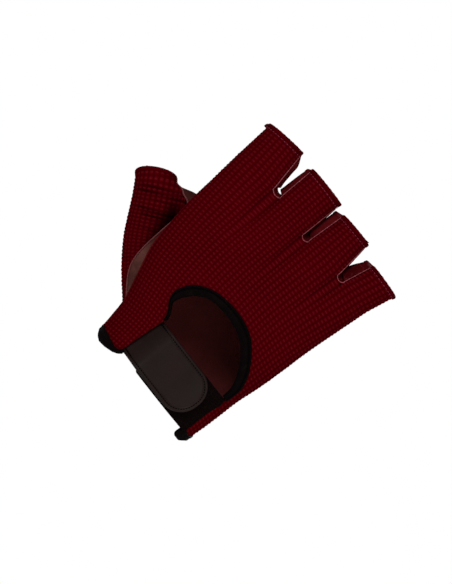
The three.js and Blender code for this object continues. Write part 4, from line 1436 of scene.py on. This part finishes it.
def stitch_line(name, path, thread, slot):
    """Stitches along a path in millimetres, as a mesh of its own."""
    mesh = bpy.data.meshes.new(name + "_line")
    edges = [(k, k + 1) for k in range(len(path) - 1)]
    mesh.from_pydata((path * MM).tolist(), edges, [])
    line = bpy.data.objects.new(name + "_line", mesh)
    bpy.context.scene.collection.objects.link(line)
    modifier = line.modifiers.new("stitches", "NODES")
    modifier.node_group = STITCHES
    values = {"Unevenness": UNEVENNESS, "Thread": thread}
    values.update({label: size * MM for label, size in STITCH_SIZES[slot].items()})
    for socket in STITCHES.interface.items_tree:
        if socket.name in values:
            modifier[socket.identifier] = values[socket.name]
    seen = line.evaluated_get(bpy.context.evaluated_depsgraph_get())
    made = bpy.data.meshes.new_from_object(seen)
    bpy.data.objects.remove(line)
    item = bpy.data.objects.new(name, made)
    made.shade_smooth()
    bpy.context.scene.collection.objects.link(item)
    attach(item, "root")
    print(name, "has", len(made.polygons), "faces")


def thread_material(name, low, high, shine=0.1):
    thread = Finish(name)
    fibres = thread.noise(thread.place(), 2500.0, 2.0, 0.6)
    colour = thread.colour(fibres.ramp(0.3, 0.7), low, high)
    surface = thread.bump(fibres, 0.4, 0.0001)
    return thread.done(Base_Color=colour, Roughness=0.8, Specular_IOR_Level=shine, Normal=surface)


PALE_THREAD = thread_material("pale thread", (92, 20, 38), (118, 38, 54))
DARK_THREAD = thread_material("dark thread", (1, 0, 0), (5, 3, 3), 0.02)
RAW_EDGE = thread_material("raw leather edge", (92, 24, 32), (150, 74, 80))
DIM_EDGE = thread_material("dim leather edge", (70, 26, 28), (108, 58, 58))

# %% [markdown]
# ## Black tape
# The opening on the back and the wrist edge are bound with folded black tape. The fold is
# sewn down close to its outer edge, which leaves a narrow ridge, a furrow and a wide soft
# roll. The tape itself is a fine ribbed weave, too fine for faces, so the material has it.

# %% Tape material
TAPE = {"deep": (1, 0, 0), "face": (10, 4, 5), "worn": (40, 35, 28)}


def tape_material():
    tape = Finish("tape")
    place = tape.place()
    along = tape.pattern()[0]
    ribs = ((along * 1.9).fraction() * 2 - 1).size()
    lint = tape.noise(place, 1500.0, 3.0, 0.6)
    clouds = tape.noise(place, 120.0, 2.0)
    tone = (ribs * 0.25 + lint * 0.7 + (clouds - 0.5) * 0.6).share()
    base = tape.colour(tone, TAPE["deep"], TAPE["face"])
    wear = tape.noise(place, 300.0, 2.0).ramp(0.55, 0.75) * 0.06
    colour = tape.colour(wear, base, TAPE["worn"])
    weave = tape.bump(ribs, 0.35, 0.00015)
    surface = tape.bump(lint, 0.4, 0.0002, weave)
    return tape.done(Base_Color=colour, Roughness=0.7, Specular_IOR_Level=0.02, Normal=surface)


TAPE_FINISH = tape_material()

# %% Tape on the opening
RIM_SECTION = [
    (-0.02, -0.4), (-0.01, 0.55), (0.10, 1.10), (0.20, 0.95), (0.25, 0.28), (0.31, 0.28), (0.38, 0.85),
    (0.60, 1.05), (0.85, 0.55), (0.99, -0.2), (1.0, -1.2), (0.90, -2.1), (0.5, -2.5), (0.1, -2.4),
    (0.0, -1.8),
]
rim_rings = [above_back(mix(rim, free_edge, share), height) for share, height in rounded(RIM_SECTION, 1)]
tape_opening = ring_object("tape_opening", np.stack(rim_rings, 1))
hand_over(tape_opening, "tape", ["opening_binding"], TAPE_FINISH)

# %% [markdown]
# ## The wrist's tape
# The same tape runs round the wrist edge, from the flap on the thumb's side over the palm to
# the flap on the little finger's side. It is pulled a little unevenly in the sewing, so its
# outer side gets low lumps. Its two edges are laid first, and the section goes between them.

# %% Tape on the wrist
WRIST_ENDS = (-19.9, 31.2)
WRIST_SECTION = [
    (1.0, -0.2), (1.02, 0.7), (0.82, 1.0), (0.66, 0.6), (0.48, 0.75), (0.2, 0.65), (0.02, -0.2),
    (0.0, -1.6), (0.12, -2.6), (0.55, -2.7), (0.95, -2.6), (1.02, -1.8),
]
LUMPS = {"length": 2.6, "height": 0.22}
WRIST_STEPS = {"radial": 50, "palm": 120, "ulnar": 25}


def wrist_ring(edge, rise):
    """One edge of the tape, from the radial flap round the palm to the ulnar flap."""
    middle, half = body_section(np.array(float(WRIST_EDGE["side"])))
    start, end = [(x - middle) / half for x in WRIST_ENDS]
    radial = -np.cos(np.linspace(np.arccos(-start), 0, WRIST_STEPS["radial"], endpoint=False))
    ulnar = np.cos(np.linspace(0, np.arccos(end), WRIST_STEPS["ulnar"] + 1)[1:])
    palm = -np.cos(np.linspace(0, np.pi, WRIST_STEPS["palm"]))
    side = np.repeat([-1, 1, -1], list(WRIST_STEPS.values()))
    across = np.r_[radial, palm, ulnar]
    z = np.where(side < 0, tape_edge(edge, middle + half * across), wrist_z(side, across) + rise)
    middle, half = body_section(z)
    return np.stack([middle + half * across, side * body_depth(side, across, z), z], -1)


wrist_low, wrist_high = wrist_ring("low", -1.4), wrist_ring("high", 2.3)
wrist_out = unit(np.cross(wrist_high - wrist_low, np.gradient(wrist_low, axis=0)))
if wrist_out[WRIST_STEPS["radial"] + WRIST_STEPS["palm"] // 2, 1] < 0:
    wrist_out = -wrist_out
wrist_length = lengths_along(wrist_low)
lump_at = np.arange(0, wrist_length[-1] + LUMPS["length"], LUMPS["length"])
lumps = np.random.default_rng(12).normal(0, LUMPS["height"], (len(lump_at), 2))
wrist_rings = []
for share, height in rounded(WRIST_SECTION, 2):
    low_lump, high_lump = [np.interp(wrist_length, lump_at, lumps[:, k]) for k in (0, 1)]
    raised = height + mix(low_lump, high_lump, share) * (height > -0.5)
    wrist_rings.append(mix(wrist_low, wrist_high, share) + wrist_out * raised[:, None])
tape_wrist = ring_object("tape_wrist", np.stack(wrist_rings, 1))
hand_over(tape_wrist, "tape", ["wrist_binding"], TAPE_FINISH)

# %% [markdown]
# ## The closure
# The strap is a stiff black coated web. Its face is smooth and plain, with a raised border
# sewn down by one row of stitches. It comes out from under the flap by the thumb and closes on
# a black velour tongue. Its outline is cut out of a sheet of small square cells, because the
# border and the groove then follow from the distance to that outline.

# %% Strap
STRAP = {
    "root": -31.0, "low": 5.2, "high": 31.2, "tip": 26.2, "round": 12.0, "wall": 1.8,
    "under": -4.4, "over": 1.2, "rise_from": -20.5, "rise_to": -8.0,
}
STRAP_CELLS = ((-31, 58), (5, 27))
STRAP_TONES = {"deep": (16, 4, 2), "face": (22, 8, 5), "worn": (50, 40, 38)}
BORDER = {
    "edge": 0.5, "height": 0.6, "sunk": 0.35, "inner": 2.1, "slope": 0.6,
    "shows_from": -20.5, "shows_over": 8,
    "groove": 1.75, "groove_width": 0.32, "groove_depth": 0.5,
}


def strap_inset(x, z):
    """Distance in millimetres inside the strap's outline."""
    box_x = np.minimum(x - STRAP["root"], STRAP["tip"] - x)
    box_z = np.minimum(z - STRAP["low"], STRAP["high"] - z)
    corner_x = x - (STRAP["tip"] - STRAP["round"])
    middle = (STRAP["low"] + STRAP["high"]) / 2
    straight = (STRAP["high"] - STRAP["low"]) / 2 - STRAP["round"]
    corner_z = np.abs(z - middle) - straight
    in_corner = (corner_x > 0) & (corner_z > 0)
    arc = STRAP["round"] - np.hypot(np.maximum(corner_x, 0), np.maximum(corner_z, 0))
    return np.where(in_corner, arc, np.minimum(box_x, box_z))


def strap_level(x):
    risen = ease((x - STRAP["rise_from"]) / (STRAP["rise_to"] - STRAP["rise_from"]))
    return mix(STRAP["under"], STRAP["over"], risen)


def strap_surface(u, v):
    return on_back(u, v, strap_level(u) + STRAP["wall"])


def strap_relief(u, v, s, t, i, j, base):
    inset = strap_inset(u, v)
    edge = ease(inset / BORDER["edge"])
    border = BORDER["height"] * (1 - ease((inset - BORDER["inner"]) / BORDER["slope"]))
    border = border * ease((u - BORDER["shows_from"]) / BORDER["shows_over"])
    groove = BORDER["groove_depth"] * np.exp(-(((inset - BORDER["groove"]) / BORDER["groove_width"]) ** 2))
    return (border + BORDER["sunk"]) * edge - BORDER["sunk"] - groove


def strap_material():
    strap = Finish("strap")
    place = strap.place()
    grain = strap.cells(place, 1600.0)
    clouds = strap.noise(place, 70.0, 3.0)
    scuffs = strap.noise(place, 260.0, 4.0, 0.7)
    base = strap.colour(clouds.ramp(0.3, 0.7), STRAP_TONES["deep"], STRAP_TONES["face"])
    colour = strap.colour(scuffs.ramp(0.62, 0.8) * 0.3, base, STRAP_TONES["worn"])
    surface = strap.bump(grain, 0.3, 0.00012)
    shine = clouds.ramp(0.3, 0.7, 0.50, 0.60)
    return strap.done(Base_Color=colour, Roughness=shine, Specular_IOR_Level=0.12, Normal=surface)


strap = build_sheet(
    "closing_strap", strap_surface, STRAP_CELLS, (4, 4), [("edge", strap_inset)],
    STRAP["wall"], strap_relief, pitch=(1.0, 1.0),
)
hand_over(strap, "strap", ["strap"], strap_material())

# %% [markdown]
# ## Velour and hooks
# The tongue that the strap closes on is black velour, whose short pile breaks up its edges. The
# pile is real, as a small random height at each corner, and the curls are in the material. The
# hooks under the strap hardly show, so there the plain part stays and only gets a finish.

# %% Velour tongue
TONGUE = {"left": -8.2, "right": 33.6, "low": 4.4, "high": 31.1, "level": -0.3, "wall": 1.7}
PILE = {"height": 0.45, "sunk": 0.2}
VELOUR = {"deep": (2, 0, 0), "face": (18, 8, 7)}
tongue_outline = opening_outline(0.1)


def inside_tongue(x, z):
    box_x = np.minimum(x - TONGUE["left"], TONGUE["right"] - x)
    box_z = np.minimum(z - TONGUE["low"], TONGUE["high"] - z)
    return np.minimum(np.minimum(box_x, box_z), -distance_to_outline(x, z, tongue_outline))


def tongue_surface(u, v):
    return on_back(u, v, TONGUE["level"])


def tongue_relief(u, v, s, t, i, j, base):
    return np.random.default_rng(8).uniform(0, PILE["height"], u.shape) - PILE["sunk"]


def velour_material():
    velour = Finish("velour")
    place = velour.place()
    pile = velour.noise(place, 1400.0, 4.0, 0.75)
    curls = velour.cells(place, 1100.0)
    tone = (pile * 0.9 + curls * 0.5 - 0.3).share()
    colour = velour.colour(tone, VELOUR["deep"], VELOUR["face"])
    surface = velour.bump(pile, 0.9, 0.0006)
    return velour.done(Base_Color=colour, Roughness=1.0, Specular_IOR_Level=0.04, Normal=surface)


velour_tongue = build_sheet(
    "velour_tongue", tongue_surface, ((-9, 44), (4, 28)), (3, 3), [("edge", inside_tongue)],
    TONGUE["wall"], tongue_relief, pitch=(1.0, 1.0),
)
hand_over(velour_tongue, "loop", ["loop_patch"], velour_material())

# %% Hooks under the strap
def hook_material():
    hook = Finish("hook")
    hooks = hook.cells(hook.place(), 900.0)
    surface = hook.bump(hooks, 0.8, 0.0004)
    colour = hook.colour(hooks, (26, 22, 22), (8, 6, 6))
    return hook.done(Base_Color=colour, Roughness=0.5, Specular_IOR_Level=0.3, Normal=surface)


hook_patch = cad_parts["hook_patch"]
hook_patch.data.materials.clear()
hook_patch.data.materials.append(hook_material())

# %% [markdown]
# ## Hems
# At the end of each stall the knit is folded over and sewn down, which makes a band 2.5 mm
# wide that stands out a little, with fine ridges across it and a line of pale stitches below.
# On the leather side the band is smooth, and it runs on over the ends of the side walls. Where
# the two meet, the hem's end sticks out as a small ear. The band's section is carried along the
# stall's own edge, which keeps it on the cloth all the way round.

# %% Finger hems
HEM = {
    "ridge": 0.85, "ridge_height": 0.07, "ear": 3.2, "step": 0.2, "stitch": 2.75, "round_end": 0.9,
    "stitch_level": 0.3, "flat": 0.6, "wall": 4.0, "overlap": 6,
}
HEM_SECTION = [
    (-2.3, -0.1), (-2.1, 0.35), (-1.6, 0.5), (-0.8, 0.66), (-0.2, 0.55), (0.15, 0.1), (0.2, -0.7),
    (0.0, -1.6), (-0.6, -1.9), (-1.7, -1.9), (-2.3, -1.5),
]
HEM_MIDDLE = (-1.0, -0.7)
HEMS = table(
    "finger start_x start_z end_x end_z palm_x palm_z",
    (0, 0.0, 0.0, 0.5, 0.5, -2.0, -1.9),
    (1, -0.6, 0.0, 0.9, 0.2, 0.0, 0.0),
    (2, -0.3, 0.0, 1.0, -0.2, 0.0, 0.0),
    (3, -0.2, 0.0, 0.4, -0.5, 0.0, 0.0),
)


def spread_evenly(points, count):
    """A number of places along a line, at even shares of its points."""
    return points_at(np.linspace(0, len(points) - 1, count), np.arange(len(points)), points)


def even_steps(points, step):
    """Places every step along a line, and how far along each is."""
    length = lengths_along(points)
    at = np.linspace(0, length[-1], max(int(length[-1] / step), 2) + 1)
    return points_at(at, length, points), at


def hem_frame(path, below):
    """Directions along the stall and out of its cloth, at a hem's path."""
    toward = unit(path - below)
    out = unit(np.cross(np.gradient(path, axis=0), toward))
    centre = path.mean(0)
    facing = ((path - centre) * out).sum() >= 0
    return toward, out if facing else -out


def hem_ring(path, below, at, ridges, ears=((0, 0), (0, 0)), proud=1.0):
    toward, out = hem_frame(path, below)
    section = rounded(HEM_SECTION, 1) * [1, proud]
    ring = band_ring(path, toward, out, section)
    middle = path + toward * HEM_MIDDLE[0] + out * HEM_MIDDLE[1]
    to_end = np.minimum(at, at[-1] - at)
    size = np.sqrt(np.clip(to_end / HEM["round_end"], 0.06, 1))
    ring = mix(middle[:, None], ring, size[:, None, None])
    ridge = ridges * HEM["ridge_height"] * np.cos(at / HEM["ridge"] * 2 * np.pi)
    outer = (section[:, 1] > -0.8)[None, :, None]
    ring = ring + out[:, None] * ridge[:, None, None] * outer
    for (x, z), reach in zip(ears, (at, at[-1] - at)):
        ring = ring + np.array([x, 0, z]) * (np.clip(1 - reach / HEM["ear"], 0, 1) ** 2)[:, None, None]
    return ring


def wall_rim(wall_number, end):
    """The open end of a side wall, from its back edge to the palm's, and a line behind it."""
    surface = wall_surface_of(WALLS[wall_number])
    across = np.linspace(WALL_SIZE["around"], 0, 30)
    inside = end + (HEM["wall"] if end == 0 else -HEM["wall"])
    return surface(across, np.full(30, float(end))), surface(across, np.full(30, inside))


for hem in HEMS:
    finger = FINGERS[hem["finger"]]
    ears = ((hem["start_x"], hem["start_z"]), (hem["end_x"], hem["end_z"]))
    turns = np.sin(np.linspace(-1, 1, 81) * np.pi / 2)
    path, at = even_steps(stall_point(-1, finger, turns, 1.0), HEM["step"])
    below = spread_evenly(stall_point(-1, finger, turns, 0.8), len(path))
    item = ring_object("hem_" + finger["name"], hem_ring(path, below, at, 1.0, ears))
    hand_over(item, "knit", [], KNIT_FINISH)
    line = stall_point(-1, finger, turns[4:-4], 1 - HEM["stitch"] / STALL_LENGTH)
    toward, out = hem_frame(line, stall_point(-1, finger, turns[4:-4], 0.7))
    stitch_line("hem_stitches_" + finger["name"], line + out * HEM["stitch_level"], PALE_THREAD, "knit")

    lines = [stall_point(1, finger, turns[::-1], along) for along in (1.0, 0.8)]
    if finger["right_edge"]:
        ends = wall_rim(hem["finger"], 0)
        lines = [np.concatenate([end, line[HEM["overlap"]:]]) for end, line in zip(ends, lines)]
    if finger["left_edge"]:
        ends = wall_rim(hem["finger"] - 1, WALL_SIZE["along"])
        lines = [np.concatenate([line[:-HEM["overlap"]], end[::-1]]) for end, line in zip(ends, lines)]
    path, below = [spread_evenly(line, 161) for line in lines]
    ears = ((0, 0), (hem["palm_x"], hem["palm_z"]))
    ring = hem_ring(path, below, lengths_along(path), 0.0, ears, HEM["flat"])
    item = ring_object("leather_hem_" + finger["name"], ring)
    hand_over(item, "leather", [], LEATHER_FINISH)

# %% Thumb hem
THUMB_BELOW = 6.3
THUMB_HEM_GAP = 2.5
thumb_seam_end = thumb_seam_at(THUMB_END)


def thumb_line(turns, i):
    return thumb_point(turns, np.full(len(turns), i))


knit_turns = np.linspace(THUMB_PALM_SEAM, thumb_seam_end, 121)
path, at = even_steps(thumb_line(knit_turns, THUMB_END), HEM["step"])
spread = np.linspace(THUMB_PALM_SEAM, thumb_seam_end, len(path))
below = path - (thumb_line(spread, THUMB_END) - thumb_line(spread, THUMB_BELOW))
item = ring_object("hem_thumb", hem_ring(path, below, at, 1.0, proud=HEM["flat"]))
hand_over(item, "knit", [], KNIT_FINISH)
front_turns = np.linspace(thumb_seam_end + THUMB_HEM_GAP, 360 + THUMB_PALM_SEAM - THUMB_HEM_GAP, 121)
path, below = thumb_line(front_turns, THUMB_END), thumb_line(front_turns, THUMB_BELOW)
item = ring_object("leather_hem_thumb", hem_ring(path, below, np.arange(121.0), 0.0, proud=HEM["flat"]))
hand_over(item, "leather", [], LEATHER_FINISH)

# %% [markdown]
# ## Seams and cut edges
# Round every slit the cut edge of the leather shows as a thin pale line. The side seams, the
# slits' palm edges and the thumb's seams are piped with a narrow roll of leather. Each is a cord
# along the line that the sheets share there, so it also covers the join between them.

# %% Cut edges round the slits
CUT_EDGE = {"deeper": 0.35, "inset": -0.25, "raised": (0, -0.2, 0), "radius": 0.24, "wobble": 0.18}

for wall in WALLS:
    edge = smooth_curve(slit_edge(-1, wall, CUT_EDGE["deeper"])[0], 150)
    line = edge + away_from_slit(edge) * CUT_EDGE["inset"] + np.array(CUT_EDGE["raised"])
    name = "cut_edge_side_wall_" + wall["between"]
    item = build_cord(name, line, CUT_EDGE["radius"], CUT_EDGE["wobble"], wall["left"] + 4)
    hand_over(item, "leather", [], RAW_EDGE)

# %% Piping on the side seams and the thumb
RADIAL_CORD = {"low": 3.0, "high": 80.0, "out": 0.1, "y": -0.7, "inward": 1.6, "from": 55, "over": 20}
PALM_SEAM_TURN = THUMB_PALM_SEAM - 1.7

heights = np.linspace(RADIAL_CORD["low"], RADIAL_CORD["high"], 160)
inward = RADIAL_CORD["inward"] * ease((heights - RADIAL_CORD["from"]) / RADIAL_CORD["over"])
radial_x = column_at(BODY, "z", "radial", heights) - RADIAL_CORD["out"] + inward
radial = np.stack([radial_x, np.full(160, RADIAL_CORD["y"]), heights], -1)
ulnar = palm_sheet.at_row(np.zeros(260), np.linspace(0.02, 1.95, 260))
seam_i = np.linspace(0.75, 6.9, 160)
back_seam = thumb_point(thumb_seam_at(seam_i) + SEAM_COVER, seam_i) + np.array([0, -0.15, 0])
palm_seam = thumb_point(np.full(140, PALM_SEAM_TURN), np.linspace(0.9, 6.9, 140))
slit_seams = [
    ("palm_seam_" + wall["between"], slit_edge(1, wall, SLIT["deeper"] / 2)[0] - np.array([0, 0.5, 0]),
     0.8, 0.03, 8, LEATHER_FINISH)
    for wall in WALLS
]
CORDS = table(
    "name path radius wobble seed finish",
    ("radial_piping", radial, 0.62, 0.03, 2, WALL_LEATHER_FINISH),
    ("ulnar_piping", ulnar, 0.8, 0.03, 6, LEATHER_FINISH),
    *slit_seams,
    ("thumb_seam", back_seam, 0.42, 0.08, 3, DIM_EDGE),
    ("thumb_palm_seam", palm_seam, 0.7, 0.05, 5, LEATHER_FINISH),
)
for cord in CORDS:
    item = build_cord(cord["name"], cord["path"], cord["radius"], cord["wobble"], cord["seed"])
    hand_over(item, "leather", [], cord["finish"])

# %% Stitches on the strap and the tape
STRAP_STITCHES = {"starts": 11.5, "level": 0.12, "count": 240}
TAPE_STITCHES = {"share": 0.27, "level": 0.4}


def strap_path(inset):
    """Along the strap's edge at a distance inside it, from near the root round the tip and back."""
    low, high, first = STRAP["low"] + inset, STRAP["high"] - inset, STRAP["root"] + STRAP_STITCHES["starts"]
    radius = STRAP["round"] - inset
    angle = np.linspace(-np.pi / 2, np.pi / 2, 60)
    turn_z = np.where(angle < 0, low + radius, high - radius)
    arc_x = STRAP["tip"] - STRAP["round"] + radius * np.cos(angle)
    arc = np.stack([arc_x, turn_z + radius * np.sin(angle)], -1)
    return smooth_curve(np.concatenate([[(first, low)], arc, [(first, high)]]), STRAP_STITCHES["count"])


plan = strap_path(BORDER["groove"])
level = strap_level(plan[:, 0]) + STRAP["wall"] + STRAP_STITCHES["level"]
stitch_line("strap_stitches", on_back(plan[:, 0], plan[:, 1], level), DARK_THREAD, "strap")
tape_line = above_back(mix(rim, free_edge, TAPE_STITCHES["share"]), TAPE_STITCHES["level"])
stitch_line("tape_stitches", tape_line, DARK_THREAD, "tape")
